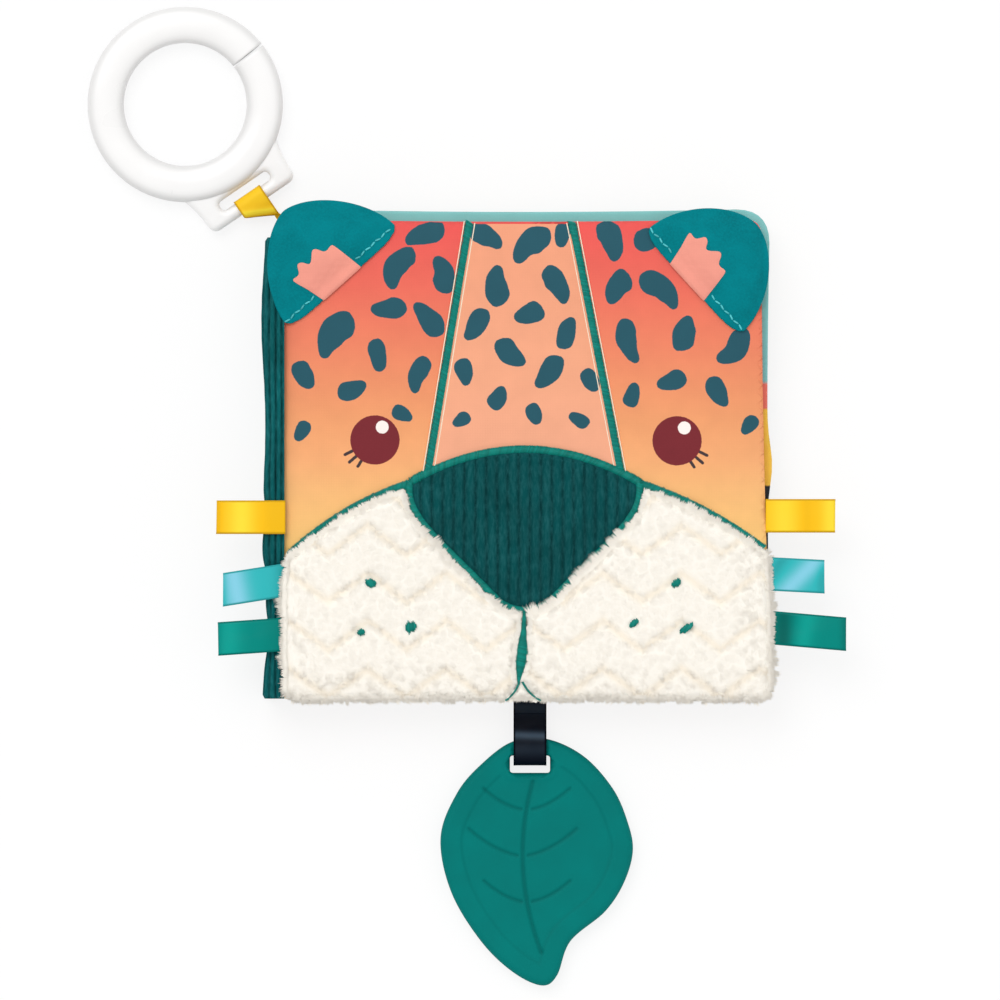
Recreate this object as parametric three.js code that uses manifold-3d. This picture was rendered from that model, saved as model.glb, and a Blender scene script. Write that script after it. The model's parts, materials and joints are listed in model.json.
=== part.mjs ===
// A soft cloth activity book for a baby, shaped as the face of a spotted cat and lying on its back cover.
// Two padded covers and two padded pages turn on a corduroy spine. Two ear flaps, six folded ribbon tags,
// a silicone leaf teether on a ribbon and a split plastic ring on another ribbon hang on it.
// Millimetres. +X runs from the spine to the free edge, +Y to the top of the face, +Z up from the table.
// The origin is the middle of the back cover's underside.
import * as THREE from "three";
import { mergeVertices } from "three/addons/utils/BufferGeometryUtils.js";
import Module from "manifold-3d";

const wasm = await Module();
wasm.setup();

// Clearances
const GAP = 0.3; // between two pieces that touch or slide
const SEWN_GAP = 1.2; // between two patches sewn side by side, under the satin stitch

// Leaves: covers and pages
const COVER_THICK = 6;
const PAGE_THICK = 5;
const SEAM_THICK = 1.6; // where a leaf's two cloths are sewn together
const SEAM_WIDTH = 3.2;
const ROLL_WIDTH = 12; // from the seam to where the padding is nearly full
const CROWN = 0.12; // share of the padding's height that the middle adds
const COVER_BOTTOM = -86;
const COVER_TOP = 85.7;
const COVER_RIGHT_LOW = 90.1;
const COVER_RIGHT_HIGH = 86.2;
const BACK_TOP = 86;
const BACK_RIGHT = 89;
const PAGE_BOTTOM = -85;
const PAGE_TOP = 88.6;
const PAGE_RIGHT = 89.5;
const PAGE_STEP = 0.7; // how much less each further page shows
const COVER_CORNER = 6;
const PAGE_CORNER = 9;
const DRAW_IN = 0.9; // how far the padding pulls a side in between its corners
const FILM_THICK = 0.2;

// Spine
const SPINE_OUT = -90;
const SPINE_WALL = 2.4;
const SPINE_TOP = 79;
const SPINE_BOTTOM = -85.5;
const WALE_PITCH = 3.9; // corduroy rib spacing
const WALE_DEPTH = 0.6;
const MARGIN_WIDTH = 6; // corduroy that shows on each cover
const MARGIN_THICK = 1;

// Patches on the front cover
const PATCH_THICK = 0.9;
const FACE_X = 1.6; // the face's middle line
const FOREHEAD_TOP_HALF = 18.3;
const FOREHEAD_LOW_HALF = 34.5;
const FOREHEAD_TOP_X = 0.3; // middle of its upper edge
const NOSE_HALF = 41;
const NOSE_TOP = 3.4;
const NOSE_SHOULDER = -8.4;
const NOSE_TIP = -54;
const NOSE_TIP_R = 9;
const NOSE_THICK = 2.4;
const NOSE_FULL = [0.22, 0.46]; // shares of the half width that set how full the nose's sides are
const CHEEK_TOP = -7.6; // where the muzzle's upper edge meets the nose
const CHEEK_END = -34; // and where it meets the sides of the cover
const PILE = 4.2;
const PILE_OVERHANG = 0.5;
const PILE_ROUND = 2.2;
const PILE_LYING = 0.45; // share of the pile's height past the cover's rim, where it lies over
const PILE_RISING = 0.85; // and over the seam
const BROW_BEND = [1.55, 0.3]; // the brow line's middle, in shares of the nose's half width and of the drop

// Ears
const EARS = {
  left: { x: -64.4, y: 66.1, outward: 131.8, half: 26.3, height: 30.2 },
  right: { x: 63.1, y: 64.1, outward: 42.5, half: 25, height: 27.7 },
};
const EAR_POWER = 1.62; // between a diamond at 1 and an ellipse at 2
const EAR_EDGE = 1.2;
const EAR_MIDDLE = 0.4; // where its padding is fullest, as a share of its height
const EAR_RINGS = [0, 0.12, 0.45, 1]; // shares of the way from its rim to that middle
const EAR_PUFF = 0.9;
const EAR_DRAPE = 12; // from the root to where the ear lies on the cover again
const EAR_CLEAR = 0.7; // from the cover's rounded edge to the draped cloth, which is less curved
const HEM_WIDTH = 1.6;
const HEM_THICK = 0.7;
const INNER_EAR_HALF = 8;
const INNER_EAR_HEIGHT = 15;
const INNER_EAR_THICK = 0.5;

// Ribbon tags, with the height of the tag's middle at its root, its length, and its slant in degrees
const RIBBON = 0.5;
const TAG_WIDTH = 12;
const TAG_INSIDE = 0.6; // between the two layers of a folded tag
const TAG_SEWN = 0.12; // share of a tag's length over which its layers are sewn together
const LEFT_TAGS = { yellow: [-20.8, 23.6, 0], turquoise: [-43.2, 21.4, 9], green: [-62.6, 23.4, 4] };
const RIGHT_TAGS = { yellow: [-20.3, 23.3, 0], turquoise: [-41, 18.7, -3], green: [-60.2, 25.8, -5] };

// Leaf teether on its ribbon
const TEETHER_X = 3.6;
const TEETHER_RIBBON = 12;
const TEETHER_STRAP = 10; // from the cover's seam to the bend in front of the leaf
const BEND = 0.5; // length of the thin end at a bend
const TEETHER_NECK = 2.2; // where the ribbon's two layers part round the leaf's bridge
const LEAF_THICK = 7;
const LEAF_ROUND = 2;
const BRIDGE_WIDTH = 6.4;
const BRIDGE_THICK = 5;
const SLOT_LENGTH = 14.4;
const SLOT_WIDTH = 6.2;
const SLOT_ROUND = 1;
const VEIN = 1.1;

const LEAF_LENGTH = 88.8;
const LEAF_WIDTH = 69;
const LEAF_TIP_X = 4;
const MIDRIB_BOW = -5;
const MIDRIB_END = 12; // from the leaf's tip
const MIDRIB_WIDTH = 1.54;
const SIDE_VEINS = 3;
const SIDE_VEIN = 21;
const SIDE_VEIN_RISE = [0.18, 0.55]; // how far a side vein climbs by its middle and its end

// Split ring on its ribbon
const RING_R = 35;
const RING_WIDTH = 13;
const RING_THICK = 8;
const RING_SPLIT = 0.7;
const RING_SPLIT_AT = 38; // degrees round from +X
const BASE_AT = -55.5; // degrees round from +X to the slotted base
const BASE_HALF = 18;
const BASE_FLARE = 5;
const BASE_THICK = 5;
const BASE_MIDDLE = 3.4; // height of the base's middle above the table
const BAR_R = 2.4;
const RING_SLOT_HALF = 10.5;
const RING_SLOT_WIDTH = 3.6;
const RING_WEB = 0.8; // between the hoop and the slot
const RING_RIBBON = 11.4;
const RING_STRAP = 12; // from the bar's middle to the bend at the cover's corner
const RING_SEAM_SIDE = -4; // from the corner's outermost point to the strap's middle

// Places that follow from the sizes
const COVER_HALF = COVER_THICK / 2;
const PAGE_HALF = PAGE_THICK / 2;
const CLOTH = SEAM_THICK / 2;
const BACK_Z = COVER_HALF;
const PAGE_2_Z = COVER_THICK + GAP + PAGE_HALF;
const PAGE_1_Z = PAGE_2_Z + PAGE_THICK + GAP;
const FRONT_Z = PAGE_1_Z + PAGE_HALF + GAP + COVER_HALF;
const HINGE_X = SPINE_OUT + SPINE_WALL / 2;
const SPINE_IN = SPINE_OUT + SPINE_WALL;
const COVER_LEFT = SPINE_IN + GAP;
const PAGE_HINGE_X = SPINE_IN + GAP + Math.hypot(CLOTH, CLOTH);
const PAGE_LEFT = PAGE_HINGE_X - CLOTH;
const MARGIN_RIGHT = SPINE_OUT + MARGIN_WIDTH;
const LOOP = 2 * RIBBON + TAG_INSIDE; // thickness of a folded tag

const rad = THREE.MathUtils.degToRad;
const at = (x, y) => new THREE.Vector2(x, y);
const group = new THREE.Group();

// Finishes, as sRGB colours with the roughness of each material
const finish = (color, roughness) => new THREE.MeshStandardMaterial({ color, roughness, metalness: 0 });
const printed = finish("#f08a63", 0.85);
const peach = finish("#f4aa87", 0.85);
const lining = finish("#8fd0cc", 0.85);
const corduroy = finish("#1f5a52", 0.95);
const earTeal = finish("#00797f", 0.85);
const innerPink = finish("#f4a08f", 0.85);
const plush = finish("#faf4e8", 1);
const fibre = finish("#f2f2ee", 1);
const film = finish("#e8eef0", 0.3);
const silicone = finish("#007a74", 0.6);
const plastic = finish("#f7f6f4", 0.35);
const navySatin = finish("#161b2a", 0.4);
const satin = {
  yellow: finish("#fdcd32", 0.4),
  turquoise: finish("#3cbec3", 0.4),
  green: finish("#008f82", 0.4),
};

// A closed geometry as a solid
function solidOf(geometry) {
  const bare = geometry.clone();
  bare.deleteAttribute("normal");
  bare.deleteAttribute("uv");
  const merged = mergeVertices(bare, 1e-4);
  return new wasm.Manifold(
    new wasm.Mesh({
      numProp: 3,
      vertProperties: merged.attributes.position.array,
      triVerts: new Uint32Array(merged.index.array),
    }),
  );
}

// A solid as a named mesh in the group
function place(name, solid, material) {
  const { vertProperties, triVerts } = solid.getMesh();
  const geometry = new THREE.BufferGeometry();
  geometry.setAttribute("position", new THREE.BufferAttribute(vertProperties, 3));
  geometry.setIndex(new THREE.BufferAttribute(triVerts, 1));
  const flat = geometry.toNonIndexed();
  flat.computeVertexNormals();
  const mesh = new THREE.Mesh(flat, material);
  mesh.name = name;
  group.add(mesh);
}

// An outline extruded from z = low to z = high, with its edges rounded by a bevel if round is given
function prism(outline, low, high, round = 0) {
  const geometry = new THREE.ExtrudeGeometry(new THREE.Shape(outline), {
    depth: high - low - 2 * round,
    bevelEnabled: round > 0,
    bevelThickness: round,
    bevelSize: round,
    bevelOffset: -round,
    bevelSegments: 3,
  });
  return solidOf(geometry.translate(0, 0, low + round));
}

// A profile drawn in X and Z, extruded from y = low to y = high
function alongY(profile, low, high) {
  const geometry = new THREE.ExtrudeGeometry(new THREE.Shape(profile), {
    depth: high - low,
    bevelEnabled: false,
  });
  return solidOf(geometry.rotateX(Math.PI / 2).translate(0, high, 0));
}

// Points of an arc about a centre, both ends included
function arc(x, y, r, from, to, steps) {
  return Array.from({ length: steps + 1 }, (_, i) => {
    const a = rad(from + ((to - from) * i) / steps);
    return at(x + r * Math.cos(a), y + r * Math.sin(a));
  });
}

// A rectangle with round corners, about its middle
function roundedBox(x, y, width, height, r) {
  const [halfX, halfY] = [width / 2 - r, height / 2 - r];
  return [
    ...arc(x + halfX, y + halfY, r, 0, 90, 3),
    ...arc(x - halfX, y + halfY, r, 90, 180, 3),
    ...arc(x - halfX, y - halfY, r, 180, 270, 3),
    ...arc(x + halfX, y - halfY, r, 270, 360, 3),
  ];
}

// An outline moved outwards by a distance, along the normals at its corners
function grown(outline, distance) {
  return outline.map((p, i) => {
    const before = outline.at(i - 1);
    const after = outline[(i + 1) % outline.length];
    const a = p.clone().sub(before).normalize();
    const b = after.clone().sub(p).normalize();
    const along = a.add(b).normalize();
    return at(p.x + along.y * distance, p.y - along.x * distance);
  });
}

// A four-sided leaf outline with round corners, drawn in between them on the three free sides
function leafOutline({ left, rightLow, rightHigh, bottom, top, corner }) {
  const corners = [at(left, bottom), at(rightLow, bottom), at(rightHigh, top), at(left, top)];
  const points = [];
  corners.forEach((here, i) => {
    const before = corners.at(i - 1);
    const after = corners[(i + 1) % 4];
    const back = before.clone().sub(here).normalize();
    const ahead = after.clone().sub(here).normalize();
    const start = here.clone().addScaledVector(back, corner);
    const end = here.clone().addScaledVector(ahead, corner);
    for (const t of [0, 0.27, 0.5, 0.73, 1]) {
      points.push(new THREE.QuadraticBezierCurve(start, here, end).getPoint(t));
    }
    const hinged = i === 3;
    const next = after.clone().addScaledVector(ahead, -corner);
    for (const t of [0.25, 0.5, 0.75]) {
      const bow = hinged ? 0 : DRAW_IN * 4 * t * (1 - t);
      const inward = at(-ahead.y, ahead.x).multiplyScalar(bow);
      points.push(end.clone().lerp(next, t).add(inward));
    }
  });
  return points;
}

// The middle that a leaf's rings shrink towards
const middleOf = (outline) =>
  outline.reduce((sum, p) => sum.add(p), at(0, 0)).divideScalar(outline.length);

// Rings of a leaf: how far in each lies, and the share of the padding's height that it has
const LEAF_REACH = (COVER_TOP - COVER_BOTTOM) / 2;
const SEAM_RING = { inset: 0, share: 0 };
const ROLL_RINGS = [0, 0.2, 0.5, 1].map((t) => ({
  inset: SEAM_WIDTH + ROLL_WIDTH * t,
  share: Math.sin((Math.PI / 2) * t),
}));
const MIDDLE_RING = { inset: LEAF_REACH, share: 1 };
const LEAF_RINGS = [SEAM_RING, ...ROLL_RINGS, MIDDLE_RING];

// A closed solid between two heights over an outline's shrinking rings, the last ring being one point
function between(outline, middle, rings, low, high) {
  const count = outline.length;
  const vertices = [];
  const faces = [];
  for (const height of [low, high]) {
    rings.forEach((ring, r) => {
      const share = 1 - ring.inset / LEAF_REACH;
      const shrunk = outline.map((p) => middle.clone().lerp(p, share));
      const points = r === rings.length - 1 ? [middle] : shrunk;
      for (const p of points) vertices.push(p.x, p.y, height(ring, p));
    });
  }
  const perSide = (rings.length - 1) * count + 1;
  for (let side = 0; side < 2; side++) {
    const face = (a, b, c) => (side ? faces.push(a, b, c) : faces.push(a, c, b));
    const vertex = (ring, i) => side * perSide + ring * count + (i % count);
    for (let i = 0; i < count; i++) {
      for (let ring = 0; ring < rings.length - 2; ring++) {
        face(vertex(ring, i), vertex(ring, i + 1), vertex(ring + 1, i + 1));
        face(vertex(ring, i), vertex(ring + 1, i + 1), vertex(ring + 1, i));
      }
      const last = rings.length - 2;
      face(vertex(last, i), vertex(last, i + 1), (side + 1) * perSide - 1);
    }
  }
  for (let i = 0; i < count; i++) {
    const j = (i + 1) % count;
    faces.push(i, j, perSide + j, i, perSide + j, perSide + i);
  }
  return new wasm.Manifold(
    new wasm.Mesh({
      numProp: 3,
      vertProperties: new Float32Array(vertices),
      triVerts: new Uint32Array(faces),
    }),
  );
}

// Half the thickness of a leaf at a ring. The crown is left out on a side that lies flat.
function halfThick(half, ring, crown) {
  const edge = ring === MIDDLE_RING ? 1 : 1 - crown;
  return CLOTH + (half - CLOTH) * ring.share * edge;
}

// A padded leaf: an upper and a lower cloth sewn at the rim, with its filling between them
function leaf(outline, z, half, flatBelow) {
  const middle = middleOf(outline);
  const upper = (ring) => halfThick(half, ring, CROWN);
  const lower = (ring) => halfThick(half, ring, flatBelow ? 0 : CROWN);
  const solid = (rings, low, high) =>
    between(outline, middle, rings, (ring) => z + low(ring), (ring) => z + high(ring));
  const ceiling = (drop) => (ring) => upper(ring) - CLOTH - drop;
  const floor = (rise) => (ring) => CLOTH + rise - lower(ring);
  return {
    middle,
    upper,
    top: solid(LEAF_RINGS, ceiling(0), upper),
    under: solid(LEAF_RINGS, (ring) => -lower(ring), floor(0)),
    filling: (rise, drop, first) => solid(LEAF_RINGS.slice(first), floor(rise), ceiling(drop)),
    sheet: (drop, thick, first) => solid(LEAF_RINGS.slice(first), ceiling(drop + thick), ceiling(drop)),
  };
}

// Back cover
const backOutline = leafOutline({
  left: COVER_LEFT,
  rightLow: BACK_RIGHT,
  rightHigh: BACK_RIGHT,
  bottom: COVER_BOTTOM,
  top: BACK_TOP,
  corner: COVER_CORNER,
});
const back = leaf(backOutline, BACK_Z, COVER_HALF, true);
place("back_cover_cloth", back.under, corduroy);
place("back_cover_lining", back.top, lining);
place("back_cover_wadding", back.filling(GAP, GAP, 2), fibre);

// Inner pages, each with a crinkle film over its wadding
[
  ["page_1", PAGE_1_Z, 0],
  ["page_2", PAGE_2_Z, PAGE_STEP],
].forEach(([name, z, less]) => {
  const outline = leafOutline({
    left: PAGE_LEFT,
    rightLow: PAGE_RIGHT - less,
    rightHigh: PAGE_RIGHT - less,
    bottom: PAGE_BOTTOM,
    top: PAGE_TOP - less,
    corner: PAGE_CORNER,
  });
  const page = leaf(outline, z, PAGE_HALF, false);
  place(`${name}_front_cloth`, page.top, lining);
  place(`${name}_back_cloth`, page.under, lining);
  place(`${name}_crinkle_film`, page.sheet(GAP, FILM_THICK, 3), film);
  place(`${name}_wadding`, page.filling(GAP, 2 * GAP + FILM_THICK, 3), fibre);
});

// Front cover
const coverOutline = leafOutline({
  left: COVER_LEFT,
  rightLow: COVER_RIGHT_LOW,
  rightHigh: COVER_RIGHT_HIGH,
  bottom: COVER_BOTTOM,
  top: COVER_TOP,
  corner: COVER_CORNER,
});
const cover = leaf(coverOutline, FRONT_Z, COVER_HALF, false);
place("front_cover_cloth", cover.top, printed);
place("front_cover_lining", cover.under, lining);
place("front_cover_wadding", cover.filling(GAP, GAP, 2), fibre);

// The front cover's upper face above a point, which past the cover's edge stays at the seam's height
function coverTop(p) {
  const ray = p.clone().sub(cover.middle);
  let share = 0;
  coverOutline.forEach((a, i) => {
    const side = coverOutline[(i + 1) % coverOutline.length].clone().sub(a);
    const normal = at(side.y, -side.x);
    const hit = normal.dot(ray) / normal.dot(a.clone().sub(cover.middle));
    if (hit <= 0) return;
    const onSide = ray.clone().divideScalar(hit).add(cover.middle).sub(a);
    const along = onSide.dot(side) / side.lengthSq();
    if (along >= -1e-6 && along <= 1 + 1e-6) share = hit;
  });
  const inset = Math.max(0, (1 - share) * LEAF_REACH);
  const i = LEAF_RINGS.findIndex((ring) => ring.inset >= inset - 1e-9);
  if (i === 0) return FRONT_Z + cover.upper(SEAM_RING);
  const [outer, inner] = [LEAF_RINGS[i - 1], LEAF_RINGS[i]];
  const t = (inset - outer.inset) / (inner.inset - outer.inset);
  return FRONT_Z + THREE.MathUtils.lerp(cover.upper(outer), cover.upper(inner), t);
}

// A layer that follows the front cover's face, from GAP above it, with its own thickness at each ring
function layer(thick, overhang = 0) {
  const past = { inset: -overhang, share: 0 };
  const rings = overhang ? [past, ...LEAF_RINGS] : LEAF_RINGS;
  const base = (ring) => FRONT_Z + GAP + halfThick(COVER_HALF, ring, CROWN);
  return between(coverOutline, cover.middle, rings, base, (ring) => base(ring) + thick(ring));
}
const HIGH = FRONT_Z + COVER_HALF + 2 * PILE;
const patch = (outline) => prism(outline, FRONT_Z, HIGH).intersect(layer(() => PATCH_THICK));

// Nose outline, anticlockwise: a low arch over two straight sides that meet in a round tip
function noseOutline() {
  const left = at(FACE_X - NOSE_HALF, NOSE_SHOULDER);
  const right = at(FACE_X + NOSE_HALF, NOSE_SHOULDER);
  const peak = at(FACE_X, 2 * NOSE_TOP - NOSE_SHOULDER);
  const tip = (side) => at(FACE_X + side * NOSE_TIP_R, NOSE_TIP + NOSE_TIP_R / 3);
  const side = (from, sign) =>
    new THREE.CubicBezierCurve(
      from,
      at(from.x, from.y - NOSE_HALF / 4),
      at(from.x - sign * NOSE_HALF * NOSE_FULL[0], from.y - NOSE_HALF * NOSE_FULL[1]),
      tip(sign),
    ).getPoints(8).slice(1);
  const under = at(FACE_X, NOSE_TIP - NOSE_TIP_R / 3);
  return [
    ...new THREE.QuadraticBezierCurve(right, peak, left).getPoints(12),
    ...side(left, -1),
    ...new THREE.QuadraticBezierCurve(tip(-1), under, tip(1)).getPoints(6).slice(1, -1),
    ...side(right, 1).reverse(),
  ];
}
const nose = noseOutline();

// Corduroy: a flat back and a row of round wales, as a profile from x = from to x = to
function wales(from, to, low, high) {
  const count = Math.max(1, Math.round((to - from) / WALE_PITCH));
  const pitch = (to - from) / count;
  const points = [at(from, low), at(to, low)];
  for (let i = 0; i < count; i++) {
    for (const t of [0, 0.18, 0.5, 0.82]) {
      const rise = Math.sqrt(Math.sin(Math.PI * t));
      points.push(at(to - pitch * (i + t), high - WALE_DEPTH * (1 - rise)));
    }
  }
  points.push(at(from, high - WALE_DEPTH));
  return points;
}

// Nose: wide-wale corduroy cut to the nose's outline
const noseTop = FRONT_Z + COVER_HALF + GAP + NOSE_THICK;
const noseCloth = alongY(
  wales(FACE_X - NOSE_HALF - WALE_PITCH, FACE_X + NOSE_HALF + WALE_PITCH, FRONT_Z, noseTop),
  NOSE_TIP - WALE_PITCH,
  NOSE_TOP + WALE_PITCH,
);
place(
  "nose",
  prism(nose, FRONT_Z, noseTop + WALE_DEPTH, WALE_DEPTH)
    .intersect(noseCloth)
    .intersect(layer(() => 2 * PILE)),
  corduroy,
);

// Forehead panel: a tall trapezium from the cover's top seam down to the nose
const forehead = [
  at(FACE_X - FOREHEAD_LOW_HALF, NOSE_SHOULDER),
  at(FACE_X + FOREHEAD_LOW_HALF, NOSE_SHOULDER),
  at(FOREHEAD_TOP_X + FOREHEAD_TOP_HALF, COVER_TOP),
  at(FOREHEAD_TOP_X - FOREHEAD_TOP_HALF, COVER_TOP),
];
const aroundNose = prism(grown(nose, SEWN_GAP), 0, HIGH + PILE);
place("forehead_panel", patch(forehead).subtract(aroundNose), peach);

// Muzzle: two plush halves below a sloping brow line, parted by the nose and the line under it
const pileShare = (inset) => (inset <= 0 ? PILE_LYING : inset <= SEAM_WIDTH ? PILE_RISING : 1);
const pileAt = (ring) => PILE * pileShare(ring.inset);
const pile = layer(pileAt, PILE_OVERHANG);
for (const [name, side] of [["muzzle_left", -1], ["muzzle_right", 1]]) {
  const inner = FACE_X + (side * SEWN_GAP) / 2;
  const edge = side < 0 ? MARGIN_RIGHT + SEWN_GAP : COVER_RIGHT_LOW + PILE_OVERHANG + PILE_ROUND;
  const brow = new THREE.QuadraticBezierCurve(
    at(FACE_X + side * (NOSE_HALF - WALE_PITCH), CHEEK_TOP),
    at(FACE_X + side * NOSE_HALF * BROW_BEND[0], THREE.MathUtils.lerp(CHEEK_TOP, CHEEK_END, BROW_BEND[1])),
    at(edge, CHEEK_END),
  ).getPoints(8);
  const low = COVER_BOTTOM - PILE_OVERHANG - PILE_ROUND;
  const half = [at(inner, NOSE_TOP), ...brow, at(edge, low), at(inner, low)];
  if (side > 0) half.reverse();
  const cut = prism(half, FRONT_Z - PILE_ROUND, FRONT_Z + COVER_HALF + GAP + PILE, PILE_ROUND);
  place(name, cut.intersect(pile).subtract(aroundNose), plush);
}

// Corduroy that shows on the covers beside the spine, and the spine itself, ribbed along its length
const spineRibs = wales(BACK_Z, FRONT_Z, 0, SPINE_WALL / 2).slice(2, -1);
const spineProfile = [
  ...arc(HINGE_X, BACK_Z, SPINE_WALL / 2, 180, 360, 6),
  ...arc(HINGE_X, FRONT_Z, SPINE_WALL / 2, 0, 180, 6),
  ...spineRibs.slice(1).map((p) => at(HINGE_X - p.y, p.x)),
];
place("spine_cloth", alongY(spineProfile, SPINE_BOTTOM, SPINE_TOP), corduroy);
const marginLow = SPINE_WALL / 2 + GAP;
const margin = wales(SPINE_OUT, MARGIN_RIGHT, marginLow, marginLow + MARGIN_THICK);
place(
  "front_margin_strip",
  alongY(margin.map((p) => at(p.x, FRONT_Z + p.y)), SPINE_BOTTOM, SPINE_TOP),
  corduroy,
);
place(
  "back_margin_strip",
  alongY(margin.map((p) => at(p.x, BACK_Z - p.y)).reverse(), SPINE_BOTTOM, SPINE_TOP),
  corduroy,
);

// What an ear flap rests on above a point: the cover, or the corduroy beside the spine
function earRest(p) {
  const face = coverTop(p);
  const strip = FRONT_Z + marginLow + MARGIN_THICK;
  const overStrip =
    (1 - THREE.MathUtils.smoothstep(p.y, SPINE_TOP + 1.5, COVER_TOP - 0.5)) *
    (1 - THREE.MathUtils.smoothstep(p.x, MARGIN_RIGHT + 1, MARGIN_RIGHT + 8));
  return THREE.MathUtils.lerp(face, Math.max(face, strip), overStrip);
}

// Ears: a flap on each upper corner of the front cover, hinged along its sewn root
const earZ = FRONT_Z + COVER_HALF + GAP + EAR_EDGE / 2;
for (const [side, ear] of Object.entries(EARS)) {
  const out = at(Math.cos(rad(ear.outward)), Math.sin(rad(ear.outward)));
  const along = at(out.y, -out.x);
  const onEar = (u, v) => at(ear.x + along.x * u + out.x * v, ear.y + along.y * u + out.y * v);
  const outline = [];
  for (let i = 0; i <= 18; i++) {
    const a = (Math.PI * i) / 18;
    const c = Math.cos(a);
    const u = Math.sign(c) * Math.abs(c) ** (2 / EAR_POWER) * ear.half;
    outline.push(onEar(u, Math.sin(a) ** (2 / EAR_POWER) * ear.height));
  }
  for (const t of [0.25, 0.5, 0.75]) outline.push(onEar(ear.half * (2 * t - 1), 0));
  const middle = onEar(0, ear.height * EAR_MIDDLE);
  const rings = EAR_RINGS.map((t) => ({
    inset: t * LEAF_REACH,
    share: Math.sqrt(Math.sin((Math.PI / 2) * t)),
  }));
  const under = (ring, p) => {
    const v = p.clone().sub(at(ear.x, ear.y)).dot(out);
    const lie = THREE.MathUtils.smoothstep(v, 0, EAR_DRAPE);
    return THREE.MathUtils.lerp(earZ - EAR_EDGE / 2, earRest(p) + EAR_CLEAR, lie);
  };
  const over = (ring, p) => under(ring, p) + EAR_EDGE + EAR_PUFF * ring.share;
  place(`ear_${side}`, between(outline, middle, rings, under, over), earTeal);
  const petal = [];
  for (let i = 0; i <= 10; i++) {
    const a = (Math.PI * i) / 10;
    petal.push(onEar(INNER_EAR_HALF * Math.cos(a), EAR_DRAPE / 4 + INNER_EAR_HEIGHT * Math.sin(a)));
  }
  const skin = between(
    outline,
    middle,
    rings,
    (ring, p) => over(ring, p) + GAP,
    (ring, p) => over(ring, p) + GAP + INNER_EAR_THICK,
  );
  place(`inner_ear_${side}`, prism(petal, FRONT_Z, HIGH).intersect(skin), innerPink);
  const near = -EAR_EDGE / 2 - 2 * GAP;
  const hem = [
    onEar(-ear.half + HEM_WIDTH, near - HEM_WIDTH),
    onEar(-ear.half + HEM_WIDTH, near),
    onEar(ear.half - HEM_WIDTH, near),
    onEar(ear.half - HEM_WIDTH, near - HEM_WIDTH),
  ];
  place(`ear_hem_${side}`, prism(hem, FRONT_Z, HIGH).intersect(layer(() => HEM_THICK)), earTeal);
}

// A folded ribbon tag seen from the side: two layers joined by a round fold at the far end and sewn
// together at the root, where a thin tongue reaches back to the seam
function tagShape(length, tongue) {
  const inside = TAG_INSIDE / 2;
  const bend = length - LOOP / 2;
  const shape = new THREE.Shape([
    at(-tongue, -inside),
    at(0, -inside),
    at(0, -LOOP / 2),
    ...arc(bend, 0, LOOP / 2, -90, 90, 6),
    at(0, LOOP / 2),
    at(0, inside),
    at(-tongue, inside),
  ]);
  shape.holes.push(new THREE.Path([at(length * TAG_SEWN, 0), ...arc(bend, 0, inside, -90, 90, 4)]));
  return shape;
}

// The front cover's right edge at a height
function rightEdge(y) {
  const crossings = coverOutline.map((a, i) => {
    const b = coverOutline[(i + 1) % coverOutline.length];
    const t = (y - a.y) / (b.y - a.y);
    return t >= 0 && t <= 1 ? THREE.MathUtils.lerp(a.x, b.x, t) : COVER_LEFT;
  });
  return Math.max(...crossings);
}

// Tags: rows on both sides of the muzzle, slanted by a shear so that each root stays along its seam
const leftTagZ = FRONT_Z + marginLow + MARGIN_THICK + GAP + LOOP / 2;
const leftTagX = MARGIN_RIGHT - LOOP / 2;
for (const [side, rows] of [["left", LEFT_TAGS], ["right", RIGHT_TAGS]]) {
  for (const [color, [y, length, slant]] of Object.entries(rows)) {
    const left = side === "left";
    const seam = Math.max(rightEdge(y - TAG_WIDTH / 2), rightEdge(y + TAG_WIDTH / 2));
    const root = left ? leftTagX : seam + PILE_OVERHANG + GAP + LOOP / 2;
    const shear = new THREE.Matrix4().makeShear(Math.tan(rad(slant)), 0, 0, 0, 0, 0);
    const shape = tagShape(length, left ? GAP : root - seam - GAP);
    const geometry = new THREE.ExtrudeGeometry(shape, { depth: TAG_WIDTH, bevelEnabled: false })
      .rotateX(Math.PI / 2)
      .translate(0, TAG_WIDTH / 2, 0)
      .applyMatrix4(shear)
      .rotateZ(left ? Math.PI : 0)
      .translate(root, y, left ? leftTagZ : FRONT_Z);
    place(`tag_${side}_${color}`, solidOf(geometry), satin[color]);
  }
}

// Teether: a ribbon from the back cover's lower seam, and a silicone leaf held in the ribbon's loop
const seamY = COVER_BOTTOM + DRAW_IN;
const strapStart = seamY - GAP - LOOP / 2;
const strapEnd = strapStart - TEETHER_STRAP;
const loopEnd = strapEnd - 2 * GAP;
const innerHalfY = BRIDGE_WIDTH / 2 + GAP;
const innerHalfZ = BRIDGE_THICK / 2 + GAP;
const bridgeMiddle = loopEnd - TEETHER_NECK - RIBBON - innerHalfY;
const leafTop = bridgeMiddle + BRIDGE_WIDTH / 2;
const leafZ = LEAF_THICK / 2;
const strapLow = leafZ - LOOP / 2;
const strapHigh = leafZ + LOOP / 2;
const thinLow = leafZ - TAG_INSIDE / 2;
const thinHigh = leafZ + TAG_INSIDE / 2;
const alongX = (profile, middle, width) => {
  const shape = new THREE.Shape(profile);
  const geometry = new THREE.ExtrudeGeometry(shape, { depth: width, bevelEnabled: false });
  geometry.rotateY(Math.PI / 2).rotateX(Math.PI / 2);
  return solidOf(geometry.translate(middle - width / 2, 0, 0));
};
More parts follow.
